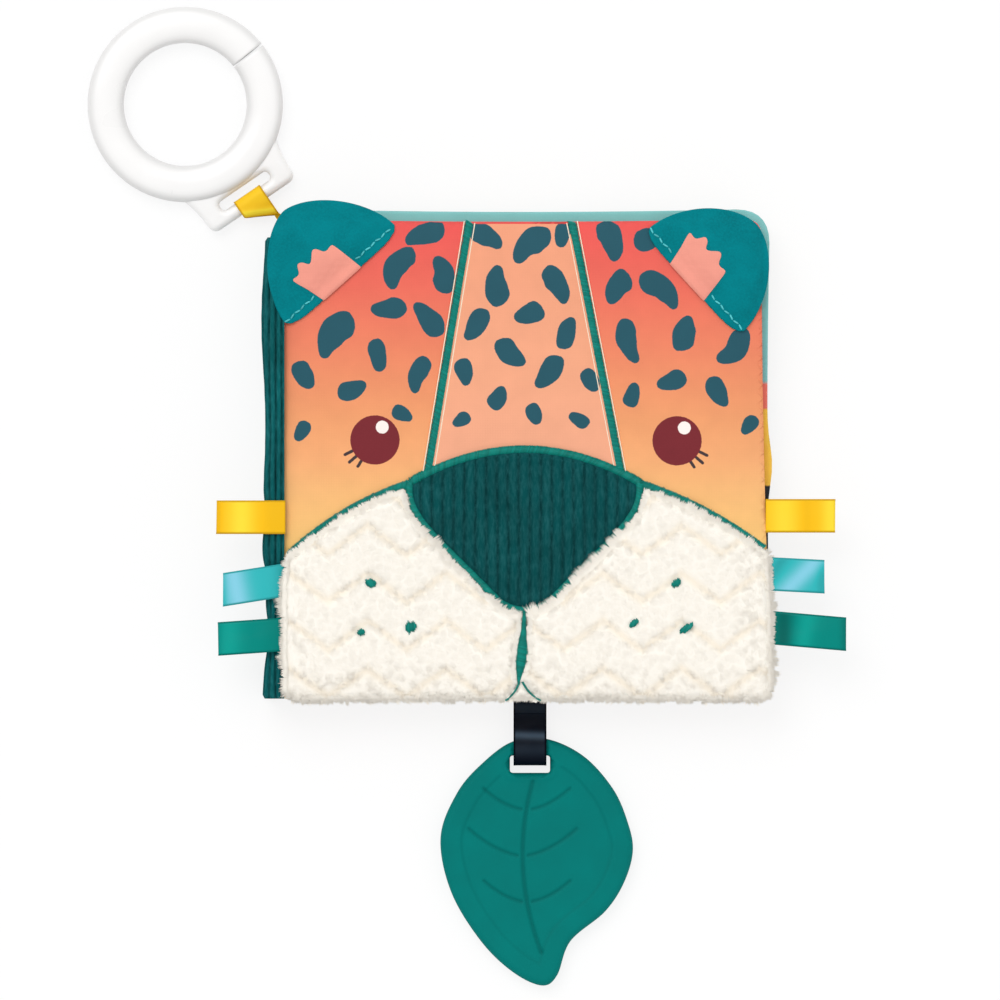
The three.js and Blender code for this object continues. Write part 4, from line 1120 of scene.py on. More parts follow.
def satin_stitch(name, path, widths, silk, height, seed, closed=False, slant=22, arch=0.5, lift=0.12):
    """An embroidered border: threads side by side across a path, arched over the cloth below.

    silk is the thread's material and its pitch. height gives the cloth's height at each place.
    """
    material, pitch = silk
    rng = np.random.default_rng(seed)
    path = resampled(path, pitch, closed)
    tangent = unit((np.roll(path, -1, 0) - np.roll(path, 1, 0)) if closed else np.gradient(path, axis=0))
    a = math.radians(slant)
    normal = np.c_[-tangent[:, 1], tangent[:, 0]]
    across = normal * math.cos(a) + tangent * math.sin(a)
    half = np.interp(np.linspace(0, 1, len(path)), np.linspace(0, 1, len(widths)), widths) / 2
    ends = rng.normal(0, 0.1, (2, len(path)))
    s = np.linspace(-1, 1, 7)
    reach = half[:, None] * s + np.where(s < 0, ends[0][:, None], ends[1][:, None]) * (np.abs(s) > 0.9)
    flat = path[:, None] + across[:, None] * reach[..., None]
    ground = height(flat.reshape(-1, 2)).reshape(len(path), len(s))
    middle = height(path)[:, None]
    z = 0.35 * ground + 0.65 * middle + lift + arch * (1 - s**2)
    z = np.where(np.abs(s) > 0.99, ground - 0.05, np.maximum(z, ground + 0.12))
    rows = np.concatenate([flat, z[..., None]], 2)
    radii = np.array([0.16, 0.25, 0.29, 0.3, 0.29, 0.25, 0.16]) * pitch / 0.46
    return tubes(name, rows, radii, material, rng.uniform(0, 1, len(path)))


def running_stitch(name, path, size, gap, material, height, seed, thick=0.3, zigzag=0.0):
    """A row of single stitches along a path, each diving into the cloth at both ends."""
    rng = np.random.default_rng(seed)
    fine = resampled(path, 0.1)
    step = int(round((size + gap) / 0.1))
    span = int(round(size / 0.1))
    rows = []
    for k, first in enumerate(range(0, len(fine) - span - 1, step)):
        start, end = fine[first], fine[first + span]
        line = start + (end - start) * np.linspace(0, 1, 7)[:, None]
        along = (end - start) / np.linalg.norm(end - start)
        away = np.array([-along[1], along[0]])
        tilt = zigzag * (1 if k % 2 else -1) + rng.normal(0, 0.06)
        line = line + away * (np.linspace(-1, 1, 7) * tilt)[:, None]
        z = height(line) + thick * np.array([-1.4, 0.2, 0.85, 1, 0.85, 0.2, -1.4])
        rows.append(np.c_[line, z])
    radii = thick * np.array([0.6, 0.9, 1, 1, 1, 0.9, 0.6])
    return tubes(name, rows, radii, material, rng.uniform(0, 1, len(rows)), 6)


# Operators, one for each piece or group of like pieces


class CLOTHBOOK_OT_stage(bpy.types.Operator):
    """Lay the paper floor, set the lamps and hang the camera straight above the book"""

    bl_idname = "clothbook.stage"
    bl_label = "Stage"

    def execute(self, context):
        """Make the floor, the lamps, the world and the camera."""
        scene = context.scene
        scene.view_settings.view_transform = "Standard"
        # Matt paper: pale and even, with a faint tooth
        material, tree, surface = new_material("matt_paper", roughness=0.95, ior=1.4)
        surface.inputs["Base Color"].default_value = ink(scene.cloth_book_colours.floor)
        bumped(tree, surface, speckle(tree, 3, 2.0), 0.01, 0.3)
        # The paper looks lit from beneath as well, which keeps the shadows on it light
        glow = add_node(tree, "Emission", {"Color": (1, 1, 1, 1), "Strength": 1.0})
        path = add_node(tree, "LightPath")
        share = computed(tree, "MULTIPLY", path.outputs["Is Camera Ray"], 0.82)
        paper = add_node(tree, "MixShader", {0: share, 1: surface.outputs[0], 2: glow.outputs[0]})
        tree.links.new(paper.outputs[0], tree.nodes["Material Output"].inputs["Surface"])
        corners = np.array([(-1, -1, 0), (1, -1, 0), (1, 1, 0), (-1, 1, 0)]) * FLOOR_HALF - (0, 0, 0.05)
        floor = make_mesh("floor", corners, np.array([[0, 1, 2, 3]]), material)
        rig.stage(floor)
        world = bpy.data.worlds.new("studio")
        scene.world = world
        world.use_nodes = True
        sky = world.node_tree.nodes["Background"]
        sky.inputs["Color"].default_value = (1, 1, 1, 1)
        # The studio is darker where it's mirrored, so glossy pieces keep their depth of colour
        glossy = add_node(world.node_tree, "LightPath").outputs["Is Glossy Ray"]
        strength = ranged(world.node_tree, glossy, 0.0, 1.0, 0.66, 0.14)
        world.node_tree.links.new(strength, sky.inputs["Strength"])
        for name, power, wide, place in LAMPS:
            lamp = bpy.data.lights.new(name, "SUN")
            lamp.energy = power
            lamp.angle = math.radians(wide)
            held = bpy.data.objects.new(name, lamp)
            held.rotation_euler = Vector(place).to_track_quat("Z", "Y").to_euler()
            scene.collection.objects.link(held)
        camera = bpy.data.cameras.new("camera")
        camera.lens = 36 * (CAMERA_HEIGHT - PICTURE_Z) / PICTURE_WIDTH
        seen = bpy.data.objects.new("camera", camera)
        seen.location = (PICTURE_MIDDLE[0] * MM, PICTURE_MIDDLE[1] * MM, CAMERA_HEIGHT * MM)
        camera.clip_end = 100
        scene.collection.objects.link(seen)
        scene.camera = seen
        return {"FINISHED"}


def crinkled(flat, inset, along, seed):
    """Relief of a leaf with film inside: puckers at its seam and faint facets over its middle."""
    facets = np.abs(rough(flat, 17, seed)) * smoothstep(inset, 6, 25)
    return 0.35 * puckers(inset, along, 5.5, seed) - 0.5 * facets


class CLOTHBOOK_OT_leaves(bpy.types.Operator):
    """Sew the back cover and the two crinkle pages as padded leaves"""

    bl_idname = "clothbook.leaves"
    bl_label = "Back cover and pages"

    def execute(self, context):
        """Make the back cover and the pages."""
        colours = context.scene.cloth_book_colours
        sizes = context.scene.cloth_book_sizes
        corduroy = pile_fabric("cotton_corduroy", colours.corduroy)
        lining = plain_cloth("coral_polyester_lining", colours.lining)
        page = plain_cloth("teal_polyester_cloth", colours.page, linear("#5aa9a8"))
        bands = (
            (-90, "#232b33"), (-9.6, "#232b33"), (-9.2, "#f8c748"), (17.6, "#f8c748"),
            (18.2, "#ee7868"), (27, "#ee7868"), (27.6, "#82c4c2"), (90, "#82c4c2"),
        )  # fmt: skip
        banded = printed_cloth("banded_polyester_cloth", bands, ())
        second = plain_cloth("yellow_polyester_cloth", colours.second_page, linear("#f0a850"))
        # Each page: height, a seed for its crinkles, how far its free edge swells out, and its cloths
        pages = (
            ("page_1", PAGE_1_Z, 2.3, 1.7, banded, second),
            ("page_2", PAGE_2_Z, 3.0, 0.6, second, page),
        )
        for name, middle, seed, swell, front, back in pages:
            (left, low, _), (right, high, _) = node_box(f"{name}_front_cloth")
            loop = leaf_outline(left, right + 0.1, right - 0.3, low, high + 0.7, 12)
            loop[:, 0] += swell * bell(loop[:, 1] + 2, 10) * (loop[:, 0] > 80)
            flat, triangles, chains = fill(loop, 1.8, insets=(0.2, 0.6, 1.3))
            inset, along = from_rim(flat, loop)
            thick = half_height(inset, PAGE_HALF)
            top = middle + thick + crinkled(flat, inset, along, seed)
            bottom = middle - thick - crinkled(flat, inset, along, seed + 2.8)
            made = slab(name + "_leaf", flat, triangles, chains, top, bottom, [front, back], 1)
            parts = ("front_cloth", "back_cloth", "crinkle_film", "wadding")
            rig.replaces(made, *(f"{name}_{part}" for part in parts))
            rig.slot(made, "page_cloth")
            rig.padded(made, 0.5)
            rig.ride(made, name)
        (left, low, _), (right, high, _) = node_box("back_cover_cloth")
        loop = leaf_outline(left, right, right, low, high, 6)
        flat, triangles, chains = fill(loop, 1.3, insets=(0.2, 0.6, 1.3))
        inset, along = from_rim(flat, loop)
        rib = wale_height(flat[:, 0], sizes.spine_wale / MM * 1.4)
        thick = half_height(inset, COVER_HALF)
        top = BACK_Z + thick + 0.3 * puckers(inset, along, 6, 8.8)
        bottom = BACK_Z - thick * (1 + 0.06 * np.clip(1 - inset / 60, 0, 1))
        bottom = np.maximum(bottom, 0.05) + 0.35 * (1 - rib) * np.clip(inset / 1.5, 0, 1)
        made = slab("back_cover_leaf", flat, triangles, chains, top, bottom, [lining, corduroy], 1, rib=rib)
        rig.replaces(made, "back_cover_cloth", "back_cover_lining", "back_cover_wadding")
        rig.slot(made, "corduroy")
        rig.padded(made, 0.6)
        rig.ride(made, "back_cover")
        return {"FINISHED"}


class CLOTHBOOK_OT_front_cover(bpy.types.Operator):
    """Sew the padded front cover from printed cloth, with its spots and eyes"""

    bl_idname = "clothbook.front_cover"
    bl_label = "Front cover"

    def execute(self, context):
        """Make the front cover."""
        colours = context.scene.cloth_book_colours
        stops = (
            (-34, "#fbca78"), (-11, "#f8ba78"), (-0.4, "#f6ad74"), (14, "#f1a06c"),
            (41, "#ef8462"), (62, "#ee6c5a"), (83, "#ed5753"),
        )  # fmt: skip
        motifs = (
            ("spot", colours.blots),
            ("lash", linear("#43373a")),
            ("eye", colours.eye),
            ("glint", linear("#fff4ee")),
        )
        printed = printed_cloth("printed_polyester_cloth", stops, motifs)
        lining = plain_cloth("coral_polyester_lining", colours.lining)
        eyes = [(*place, 13.6, 0.42) for place in EYES.values()]
        flat, triangles, chains = fill(COVER, 0.95, insets=(0.2, 0.6, 1.2), dense=eyes)
        inset, along = from_rim(flat, COVER)
        top = face_height(flat)
        bottom = FRONT_Z - half_height(inset, COVER_HALF) - 0.25 * puckers(inset, along, 6, 4.2)
        eye, glint, lash = eyes_at(flat)
        prints = {"spot": spots_at(flat, ("left", "right")), "eye": eye, "glint": glint, "lash": lash}
        made = slab("front_cover_leaf", flat, triangles, chains, top, bottom, [printed, lining], 1, **prints)
        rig.replaces(made, "front_cover_cloth", "front_cover_lining", "front_cover_wadding")
        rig.slot(made, "printed_cloth")
        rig.padded(made, 0.6)
        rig.ride(made, "front_cover")
        return {"FINISHED"}


class CLOTHBOOK_OT_forehead(bpy.types.Operator):
    """Lay the peach forehead panel on the front cover"""

    bl_idname = "clothbook.forehead"
    bl_label = "Forehead panel"

    def execute(self, context):
        """Make the forehead panel."""
        colours = context.scene.cloth_book_colours
        stops = ((-8, "#f4ac8a"), (30, "#f5a984"), (84, "#f2a07c"))
        panel = printed_cloth("peach_polyester_cloth", stops, (("spot", colours.blots),))
        arch = NOSE[(NOSE[:, 1] > NOSE_SHOULDER - 0.1) & (NOSE[:, 0] > -32) & (NOSE[:, 0] < 35.2)]
        low = resampled(arch, 1.0)[::-1] + (0, 0.3)
        (left, right), (low_left, low_right) = FOREHEAD_TOP, FOREHEAD_LOW
        foot, head = NOSE_SHOULDER + 3.4, 84.0
        corners = [(low_right, foot), (right, head), (left, head), (low_left, foot)]
        sides = [resampled(pair, 1.0) for pair in zip(corners, corners[1:])]
        loop = np.concatenate([low[1:-1], sides[0], sides[1][1:-1], sides[2]])
        flat, triangles, _ = fill(loop, 0.95)
        away = nearest(flat, loop)[0]
        height = face_height(flat) + 0.35 * smoothstep(away, 0, 1.2) + 0.03
        made = skin("forehead_cloth", flat, triangles, height, panel, spot=spots_at(flat, ("forehead",)))
        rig.replaces(made, "forehead_panel")
        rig.slot(made, "peach_cloth")
        size = [float(wide) * MM for wide in np.ptp(flat, axis=0)]
        area = flat_area(flat, triangles)
        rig.sheet(made, flat=size, held="stretched", rests_on=["front_cover_leaf"], area=area)
        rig.ride(made, "front_cover")
        return {"FINISHED"}


class CLOTHBOOK_OT_nose(bpy.types.Operator):
    """Cut the nose from wide-wale corduroy and puff it over its filling"""

    bl_idname = "clothbook.nose"
    bl_label = "Corduroy nose"

    def execute(self, context):
        """Make the nose."""
        colours = context.scene.cloth_book_colours
        pitch = context.scene.cloth_book_sizes.nose_wale / MM
        corduroy = pile_fabric("cotton_corduroy", colours.corduroy)
        flat, triangles, chains = fill(NOSE, 0.55)
        away = nearest(flat, NOSE)[0]
        # The ribs wander a little, as cut pile does, and are pressed flat under the stitching
        wander = 0.35 * rough(flat * (1, 0.4), 13, 4.4)
        rib = wale_height(flat[:, 0] - FACE_X + pitch / 2 + wander, pitch)
        puff = 1.5 * (1 - np.exp(-away / 5))
        pressed = smoothstep(away, 0.2, 3)
        nap = 0.1 * rough(flat, 0.9, 9.1) + 0.12 * rough(flat, 2.2, 3.3)
        top = face_height(flat) + 0.4 + puff + pressed * (0.85 * rib - 0.25 + nap)
        bottom = np.full(len(flat), FRONT_Z + 2.0)
        made = slab("nose_patch", flat, triangles, chains, top, bottom, corduroy, rib=rib)
        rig.replaces(made, "nose")
        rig.slot(made, "corduroy")
        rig.padded(made, 0.7)
        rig.ride(made, "front_cover")
        return {"FINISHED"}


def chevrons(points, pitch, width):
    """How deep each place lies in the plush's zigzag parting, from 0 to 1, and which way is up the slope."""
    x, y = points[:, 0] - FACE_X, points[:, 1]
    fold = np.abs(((x / width) % 1) - 0.5) * 2
    phase = (y - fold * width * 0.36 + 0.6 * rough(points, 11, 6.6)) / pitch
    away = np.abs(phase - np.round(phase)) * pitch
    return bell(away, 1.9), np.sign(phase - np.round(phase))


def clumps(places, spacing, table):
    """The middle of the lock of pile that each place belongs to, and the four random values of that lock."""
    cells = np.floor(places / spacing).astype(int)
    best = np.full(len(places), 1e9)
    middles, values = np.zeros((len(places), 2)), np.zeros((len(places), 4))
    for dx in (-1, 0, 1):
        for dy in (-1, 0, 1):
            cell = cells + (dx, dy)
            found = table[cell[:, 0] % len(table), cell[:, 1] % len(table)]
            middle = (cell + 0.5 + 0.45 * found[:, :2]) * spacing
            away = np.hypot(*(places - middle).T)
            closer = away < best
            best[closer], middles[closer], values[closer] = away[closer], middle[closer], found[closer]
    return middles, values


def tuft_mesh(name, roots, tips, facing, width, material, rng, deep=0.0):
    """Cut pile: small pointed tufts from roots to tips, shaded by the way that their lock faces.

    deep is how far each tuft stands in the plush's parting, where painted shade darkens it.
    """
    count = len(roots)
    ahead = unit((tips - roots) * (1, 1, 0) + 1e-9)
    widths = width * rng.uniform(0.7, 1.3, count)
    side = np.c_[-ahead[:, 1], ahead[:, 0], np.zeros(count)] * widths[:, None] / 2
    crown = roots + (tips - roots) * 0.35
    crown[:, 2] = np.maximum(crown[:, 2], roots[:, 2]) + 0.4 * width * rng.uniform(0.6, 1.1, count)
    points = np.stack([roots - side, tips, roots + side, crown], 1).reshape(-1, 3)
    first = np.arange(count) * 4
    pairs = ((0, 1), (1, 2), (2, 0))
    faces = np.concatenate([np.stack([first + i, first + j, first + 3], 1) for i, j in pairs])
    # Each tuft's own tone, with painted shade in the partings
    own = np.repeat(rng.uniform(0.8, 1, count) * (1 - 0.6 * deep), 4)
    made = make_mesh(name, points, faces, material, own=own)
    made.data.normals_split_custom_set_from_vertices(np.repeat(unit(facing + 0.08 * ahead), 4, 0))
    return made


def pile_ground(points):
    """Height of what the plush lies on: the cover's cloth, or the corduroy and the tags beside it."""
    points = np.asarray(points, float)[:, :2]
    beside = smoothstep(-points[:, 0], 80.5, 83.5)
    return face_height(points) * (1 - beside) + STRIP_TOP * beside


def cut_pile(name, flat, triangles, top, count, sizes, plush, rng, table):
    """Tufts in locks over a plush piece, which part along its zigzags."""
    pitch, width, pile = sizes.chevron_pitch / MM, sizes.chevron_width / MM, sizes.pile / MM
    # Places are drawn evenly over the surface, and those in larger triangles are kept more often
    pick = rng.integers(0, len(triangles), 3 * count)
    a, b, c = (flat[triangles[pick, j]] for j in range(3))
    area = np.abs(np.cross(b - a, c - a))
    pick = pick[rng.uniform(0, area.max(), len(pick)) < area][:count]
    mix = rng.dirichlet((1, 1, 1), len(pick))
    corners = triangles[pick]
    xy = sum(flat[corners[:, j]] * mix[:, j : j + 1] for j in range(3))
    z = sum(top[corners[:, j]] * mix[:, j] for j in range(3))
    middles, values = clumps(xy, 2.3, table)
    parting, slope = chevrons(xy, pitch, width)
    tall = pile * (0.72 + 0.1 * values[:, 2] + 0.08 * rng.normal(0, 1, len(xy))) * (1 - 0.25 * parting)
    lean = 1.1 * values[:, :2] * tall[:, None]
    lean[:, 1] += 0.55 * slope * parting * tall
    tips = np.c_[xy + 0.35 * (middles - xy) + lean + rng.normal(0, 0.45, xy.shape), z - 0.05]
    facing = np.c_[(xy - middles) * 0.1 + values[:, :2] * 0.06, np.ones(len(xy))]
    roots = np.c_[xy, z - 0.06]
    return tuft_mesh(f"{name}_pile", roots, tips, unit(facing), 0.5, plush, rng, parting)


def fringe(name, loop, reach, plush, rng, table):
    """Longer tufts that hang over a plush piece's rim by reach(places)."""
    rim = resampled(loop, 0.25 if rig.quick() else 0.05, True)
    along = np.roll(rim, -3, 0) - np.roll(rim, 3, 0)
    outward = unit(np.c_[along[:, 1], -along[:, 0]])
    start = rim - outward * rng.uniform(0.2, 2.4, len(rim))[:, None]
    middles, values = clumps(rim, 2.6, table)
    size = reach(rim) * (0.75 + 0.3 * values[:, 2]) * rng.uniform(0.6, 1.15, len(rim))
    pulled = (middles - rim) * 0.2 + values[:, :2] * 0.3
    end = rim + outward * size[:, None] + pulled + rng.normal(0, 0.25, rim.shape)
    over = smoothstep(-signed(end, COVER), 0, 2.5)
    base = pile_ground(start) + 1.7
    # Past the cover's edge the tufts hang down to the tags
    low = np.where(end[:, 0] < -84, STRIP_TOP + 0.2, FRONT_Z + 0.6)
    tip_z = np.where(over > 0, pile_ground(end) + 1.7 * over, low) - 0.5 + 0.4 * values[:, 3]
    facing = np.c_[outward * 0.3, np.ones(len(rim))]
    roots, tips = np.c_[start, base], np.c_[end, tip_z]
    return tuft_mesh(f"{name}_fringe", roots, tips, unit(facing), 0.45, plush, rng)


# The line under the nose, and its width at each of its points
UNDER = np.array([(1.6, -54.8), (1.3, -61.5), (0.9, -67.5), (0.2, -73.5), (-0.5, -79.5)])
UNDER_WIDTHS = [1.4, 2.0, 4.4, 4.2, 1.0]
# The gusset between both halves of the muzzle, below that line
GUSSET = np.array([(-0.3, -79.8), (-5.0, -86.2), (7.2, -86.2), (1.0, -79.8)])

# The plush's outer rims, from the bottom up. They end over the tags' seams, so the tags can bend up.
LEFT_BULGES = ((-84.3, -80.0), (-84.5, -70.0), (-84.5, -58.0), (-84.6, -46.0), (-83.4, -35.5))
RIGHT_BULGES = ((90.3, -78.0), (90.2, -66.0), (90.0, -54.0), (89.8, -44.0), (88.9, -34.8))


def muzzle_outline(side):
    """Outline of one half of the muzzle."""
    halves = {"left": (-1, GUSSET[1], LEFT_BULGES), "right": (1, GUSSET[2], RIGHT_BULGES)}
    sign, corner_foot, bulges = halves[side]
    around = grown(NOSE, 1.2)
    brow = BROWS[side] - (0, 0.9)
    flank = around[(around[:, 1] < brow[0][1] - 2.6) & ((around[:, 0] - FACE_X) * sign > 0.7)]
    flank = flank[np.argsort(-flank[:, 1])]
    parted = UNDER[1:] + np.c_[[sign * w / 2 for w in UNDER_WIDTHS[1:]], np.zeros(4)]
    foot = corner_foot + (sign * 0.3, 0)
    low, bulge = -86.6, bulges[0][0]
    corner = bezier([(bulge, low + 6), (bulge, low), (bulge - sign * 6, low)], 6)[::-1]
    route = [flank, parted, foot[None], corner, np.array(bulges), brow[:2:-1]]
    return anticlockwise(resampled(np.concatenate(route), 0.9, True))


def overhang(side):
    """How far the pile hangs over a muzzle half's rim at each place."""

    def reach(places):
        x, y = places.T
        size = np.full(len(places), 1.3)
        size = np.where(x < -80, 2.0 + 2.2 * bell(y + 48, 8) + 0.8 * smoothstep(-y, 66, 74), size)
        size = np.where(x > 88, 2.5, size)
        size = np.where(y < -85, 1.1, size)
        on_nose = (np.abs(x - FACE_X) < NOSE_HALF + 1.5) & (y > -57) & (signed(places, NOSE) < 2.2)
        bitten = 1.9 * bell(y + 30, 6) + 1.6 * smoothstep(-y, 47, 52)
        flank = 0.4 + 3.2 * smoothstep(-y, 20, 29) if side == "right" else 0.5 + bitten
        size = np.where(on_nose, flank, size)
        size = size * smoothstep(np.hypot(np.abs(x - FACE_X) - NOSE_HALF, y - NOSE_SHOULDER), 3.5, 9)
        return np.where((np.abs(x - FACE_X) < 6) & (y < -57), 0.7, size)

    return reach


class CLOTHBOOK_OT_muzzle(bpy.types.Operator):
    """Sew on both halves of the plush muzzle and grow their pile"""

    bl_idname = "clothbook.muzzle"
    bl_label = "Plush muzzle"

    def execute(self, context):
        """Make the two halves of the muzzle and the gusset between them."""
        colours = context.scene.cloth_book_colours
        sizes = context.scene.cloth_book_sizes
        pitch, width = sizes.chevron_pitch / MM, sizes.chevron_width / MM
        plush = plush_pile("polyester_plush", colours.plush)
        parts = [(f"muzzle_{side}", muzzle_outline(side), sizes.tufts, overhang(side)) for side in BROWS]
        gusset = anticlockwise(resampled(GUSSET, 0.8, True))
        parts.append(("muzzle_gusset", gusset, sizes.tufts // 90, lambda places: np.full(len(places), 0.5)))
        for k, (name, loop, tufts, reach) in enumerate(parts):
            loop = loop + 0.35 * rough(loop, 2.4, 3.7 + k)[:, None]
            flat, triangles, chains = fill(loop, 0.9)
            away = nearest(flat, loop)[0]
            parting, _ = chevrons(flat, pitch, width)
            ground = pile_ground(flat)
            rise = 2.0 * smoothstep(away, 0, 3.2) + 0.3
            lumps = 0.7 + 0.3 * rough(flat, 9, 5.5) - 0.7 * parting
            top = ground + rise + smoothstep(away, 0, 4) * lumps
            bottom = np.where(inside(flat, grown(COVER, -1.5)), FRONT_Z + 1.2, FRONT_Z - 0.3)
            bottom = np.where(flat[:, 0] < -81, ground - 0.3, bottom)
            # Painted shade in the partings of the zigzag
            made = slab(f"{name}_plush", flat, triangles, chains, top, bottom, plush, own=1 - 0.8 * parting)
            if name != "muzzle_gusset":
                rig.replaces(made, name)
            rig.padded(made, 0.7)
            count = int(tufts * (0.2 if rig.quick() else 1))
            rng = np.random.default_rng(11 + k)
            table = rng.uniform(-1, 1, (61, 61, 4))
            inner = cut_pile(name, flat, triangles, top, count, sizes, plush, rng, table)
            hanging = fringe(name, loop, reach, plush, rng, table)
            for piece in (made, inner, hanging):
                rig.slot(piece, "plush")
                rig.ride(piece, "front_cover")
        return {"FINISHED"}


class CLOTHBOOK_OT_embroidery(bpy.types.Operator):
    """Embroider the borders of the panels, the line under the nose and the dots on the plush"""

    bl_idname = "clothbook.embroidery"
    bl_label = "Satin stitch"

    def execute(self, context):
        """Make the satin-stitched borders and dots."""
        colours = context.scene.cloth_book_colours
        sizes = context.scene.cloth_book_sizes
        width = sizes.stitch_width / MM
        silk = (thread("green_embroidery_thread", colours.stitching), sizes.stitch_pitch / MM)
        cream = thread("cream_sewing_thread", linear("#fbe6cd"))
        made = []

        def sew(name, line, widths, seed, over=0.0, **style):
            """Stitch a border on cloth that lies over the cover's face by some millimetres."""

            def height(places):
                return face_height(places) + over

            made.append(satin_stitch(name, line, widths, silk, height, seed, **style))

        for side, line in FOREHEAD_SIDES.items():
            sew(f"forehead_border_{side}", line, [width * 0.95, width], 21)
            # A pale thread shows at both sides of the border, where the panels' edges are caught
            path = resampled(line, 1.0)
            away = (width / 2 + 0.12) * np.array([1, (line[0] - line[1])[0] / (line[1] - line[0])[1]])
            for name, way in (("inner", 1), ("outer", -1)):
                places = path + away * way
                row = np.c_[places, face_height(places) + 0.3]
                radii = np.full(len(row), 0.24)
                made.append(tubes(f"forehead_{side}_{name}_thread", row[None], radii, cream, np.array([0.6])))
        for k, (side, line) in enumerate(BROWS.items()):
            # The right one ends where the pile begins to hang over the cover's edge
            line = line[: -1 if side == "right" else None]
            sew(f"brow_border_{side}", line, [width, width, width * 0.7], 31 + k)
        sew("nose_border", NOSE, [width] * 2, 41, closed=True, arch=0.9, lift=0.4)
        sew("line_under_nose", UNDER, UNDER_WIDTHS, 51, 1.1, slant=8, arch=0.8)
        for k, (top, foot) in enumerate(((GUSSET[0], GUSSET[1]), (GUSSET[3], GUSSET[2]))):
            line = bezier([top, (top[0] * 0.7 + foot[0] * 0.3, foot[1] + 2.4), foot], 12)
            sew(f"gusset_seam_{k + 1}", line, [0.6, 0.35], 55 + k, 1.9, arch=0.2)
        for k, (x, y, size) in enumerate(WHISKER_DOTS):
            line = np.array([(x - size * 0.42, y - 0.4), (x + size * 0.42, y + 0.4)])
            widths = [size * share for share in (0.35, 1.0, 0.8, 1.15, 0.5)[:: 1 if k % 2 else -1]]
            sew(f"whisker_dot_{k + 1}", line, widths, 61 + k, 3.15, slant=-18 + 13 * k)
        for piece in made:
            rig.slot(piece, "corduroy")
            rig.ride(piece, "front_cover")
        return {"FINISHED"}


class CLOTHBOOK_OT_ears(bpy.types.Operator):
    """Sew the two velour ear flaps to the front cover along their running stitch"""

    bl_idname = "clothbook.ears"
    bl_label = "Ears"

    def execute(self, context):
        """Make both ears."""
        colours = context.scene.cloth_book_colours
        nap = velour("polyester_velour", colours.velour)
        pink = plain_cloth("pink_polyester_cloth", colours.inner_ear)
        pale = thread("pale_teal_sewing_thread", linear("#52c3c8"))
        for k, (side, ear) in enumerate(EARS.items()):
            a = math.radians(ear["outward"])
            out = np.array([math.cos(a), math.sin(a)])
            along = np.array([out[1], -out[0]])
            root = np.array(JOINTS[f"ear_{side}_flap"][:2])

            def on_ear(u, v, root=root, along=along, out=out):
                return root + np.outer(u, along) + np.outer(v, out)

            angles = np.linspace(0, math.pi, 60)
            c = np.cos(angles)
            half, power = ear["half"], 2 / ear["power"]
            u = np.sign(c) * np.abs(c) ** power * half
            v = np.sin(angles) ** power * ear["height"]
            low = np.linspace(-half, half, 46)[1:-1]
            scallops = -HEM - 0.3 * np.abs(np.sin(low * 1.1)) + 2.6 * (np.abs(low) / half) ** 8
            loop = resampled(np.concatenate([on_ear(u, v), on_ear(low, scallops)]), 1.0, True)
            flat, triangles, chains = fill(loop, 0.9, insets=(0.15, 0.5, 1.0))
            away = from_rim(flat, loop)[0]
            depth = (flat - root) @ out
            # The left ear lies over the corduroy strip as well
            rest = face_height(flat)
            strip = (1 - smoothstep(flat[:, 1], 80, 85)) * (1 - smoothstep(flat[:, 0], -83, -78))
            rest = rest + np.maximum(0, 22.6 - rest) * strip
            under = rest + 0.25 + 0.35 * smoothstep(depth, 2, 12)
            seam = bell(depth, 1.3)
            edge = 0.55 * rounded(away, 0.7)
            puff = 1.25 * smoothstep(away, 0.3, 5) * smoothstep(depth, 0, 6)
            waves = 0.25 * rough(flat, 9, 3.0 + k) * smoothstep(depth, 2, 12)
            top = under + 0.35 + edge + puff + waves - 0.25 * seam * smoothstep(away, 0, 1)
            made = slab(f"ear_{side}_flap", flat, triangles, chains, top, under - 0.1, nap)
            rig.replaces(made, f"ear_{side}", f"ear_hem_{side}")
            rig.slot(made, "ear_cloth")
            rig.padded(made, 0.4)

            def ear_top(p, flat=flat, top=top):
                p = np.atleast_2d(p)
                return np.array([top[np.argmin(((flat - q) ** 2).sum(1))] for q in p])

            for part, (one, two) in enumerate(((0.2 - half, -11.6), (7.6, half - 0.2))):
                ends = on_ear([one, two], [0, 0])
                name, seed = f"ear_{side}_stitching_{part + 1}", 71 + 2 * k + part
                row = running_stitch(name, ends, 2.2, 0.2, pale, ear_top, seed, 0.34, 0.3)
                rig.slot(row, "ear_cloth")
                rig.ride(row, "front_cover")
            # A fan with a scalloped top, sewn in with the flap
            fan = resampled(on_ear(*smooth_loop(INNER_EAR, 8).T), 0.6, True)
            flat, triangles, _ = fill(fan, 0.7)
            lift = ear_top(flat) + 0.2 + 0.25 * smoothstep(nearest(flat, fan)[0], 0, 0.8)
            patch = skin(f"inner_ear_{side}_cloth", flat, triangles, lift, pink)
            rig.replaces(patch, f"inner_ear_{side}")
            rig.slot(patch, "inner_ear_cloth")
            size = [float(np.ptp((flat - root) @ way)) * MM for way in (along, out)]
            area = flat_area(flat, triangles)
            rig.sheet(patch, flat=size, held="stretched", rests_on=[f"ear_{side}_flap"], area=area)
            start, end = ((*(root + out * depth) * MM, 0.0238) for depth in (0.3, 3.8))
            for piece in (made, patch):
                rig.blend(piece, "front_cover", f"ear_{side}", start, end)
        return {"FINISHED"}


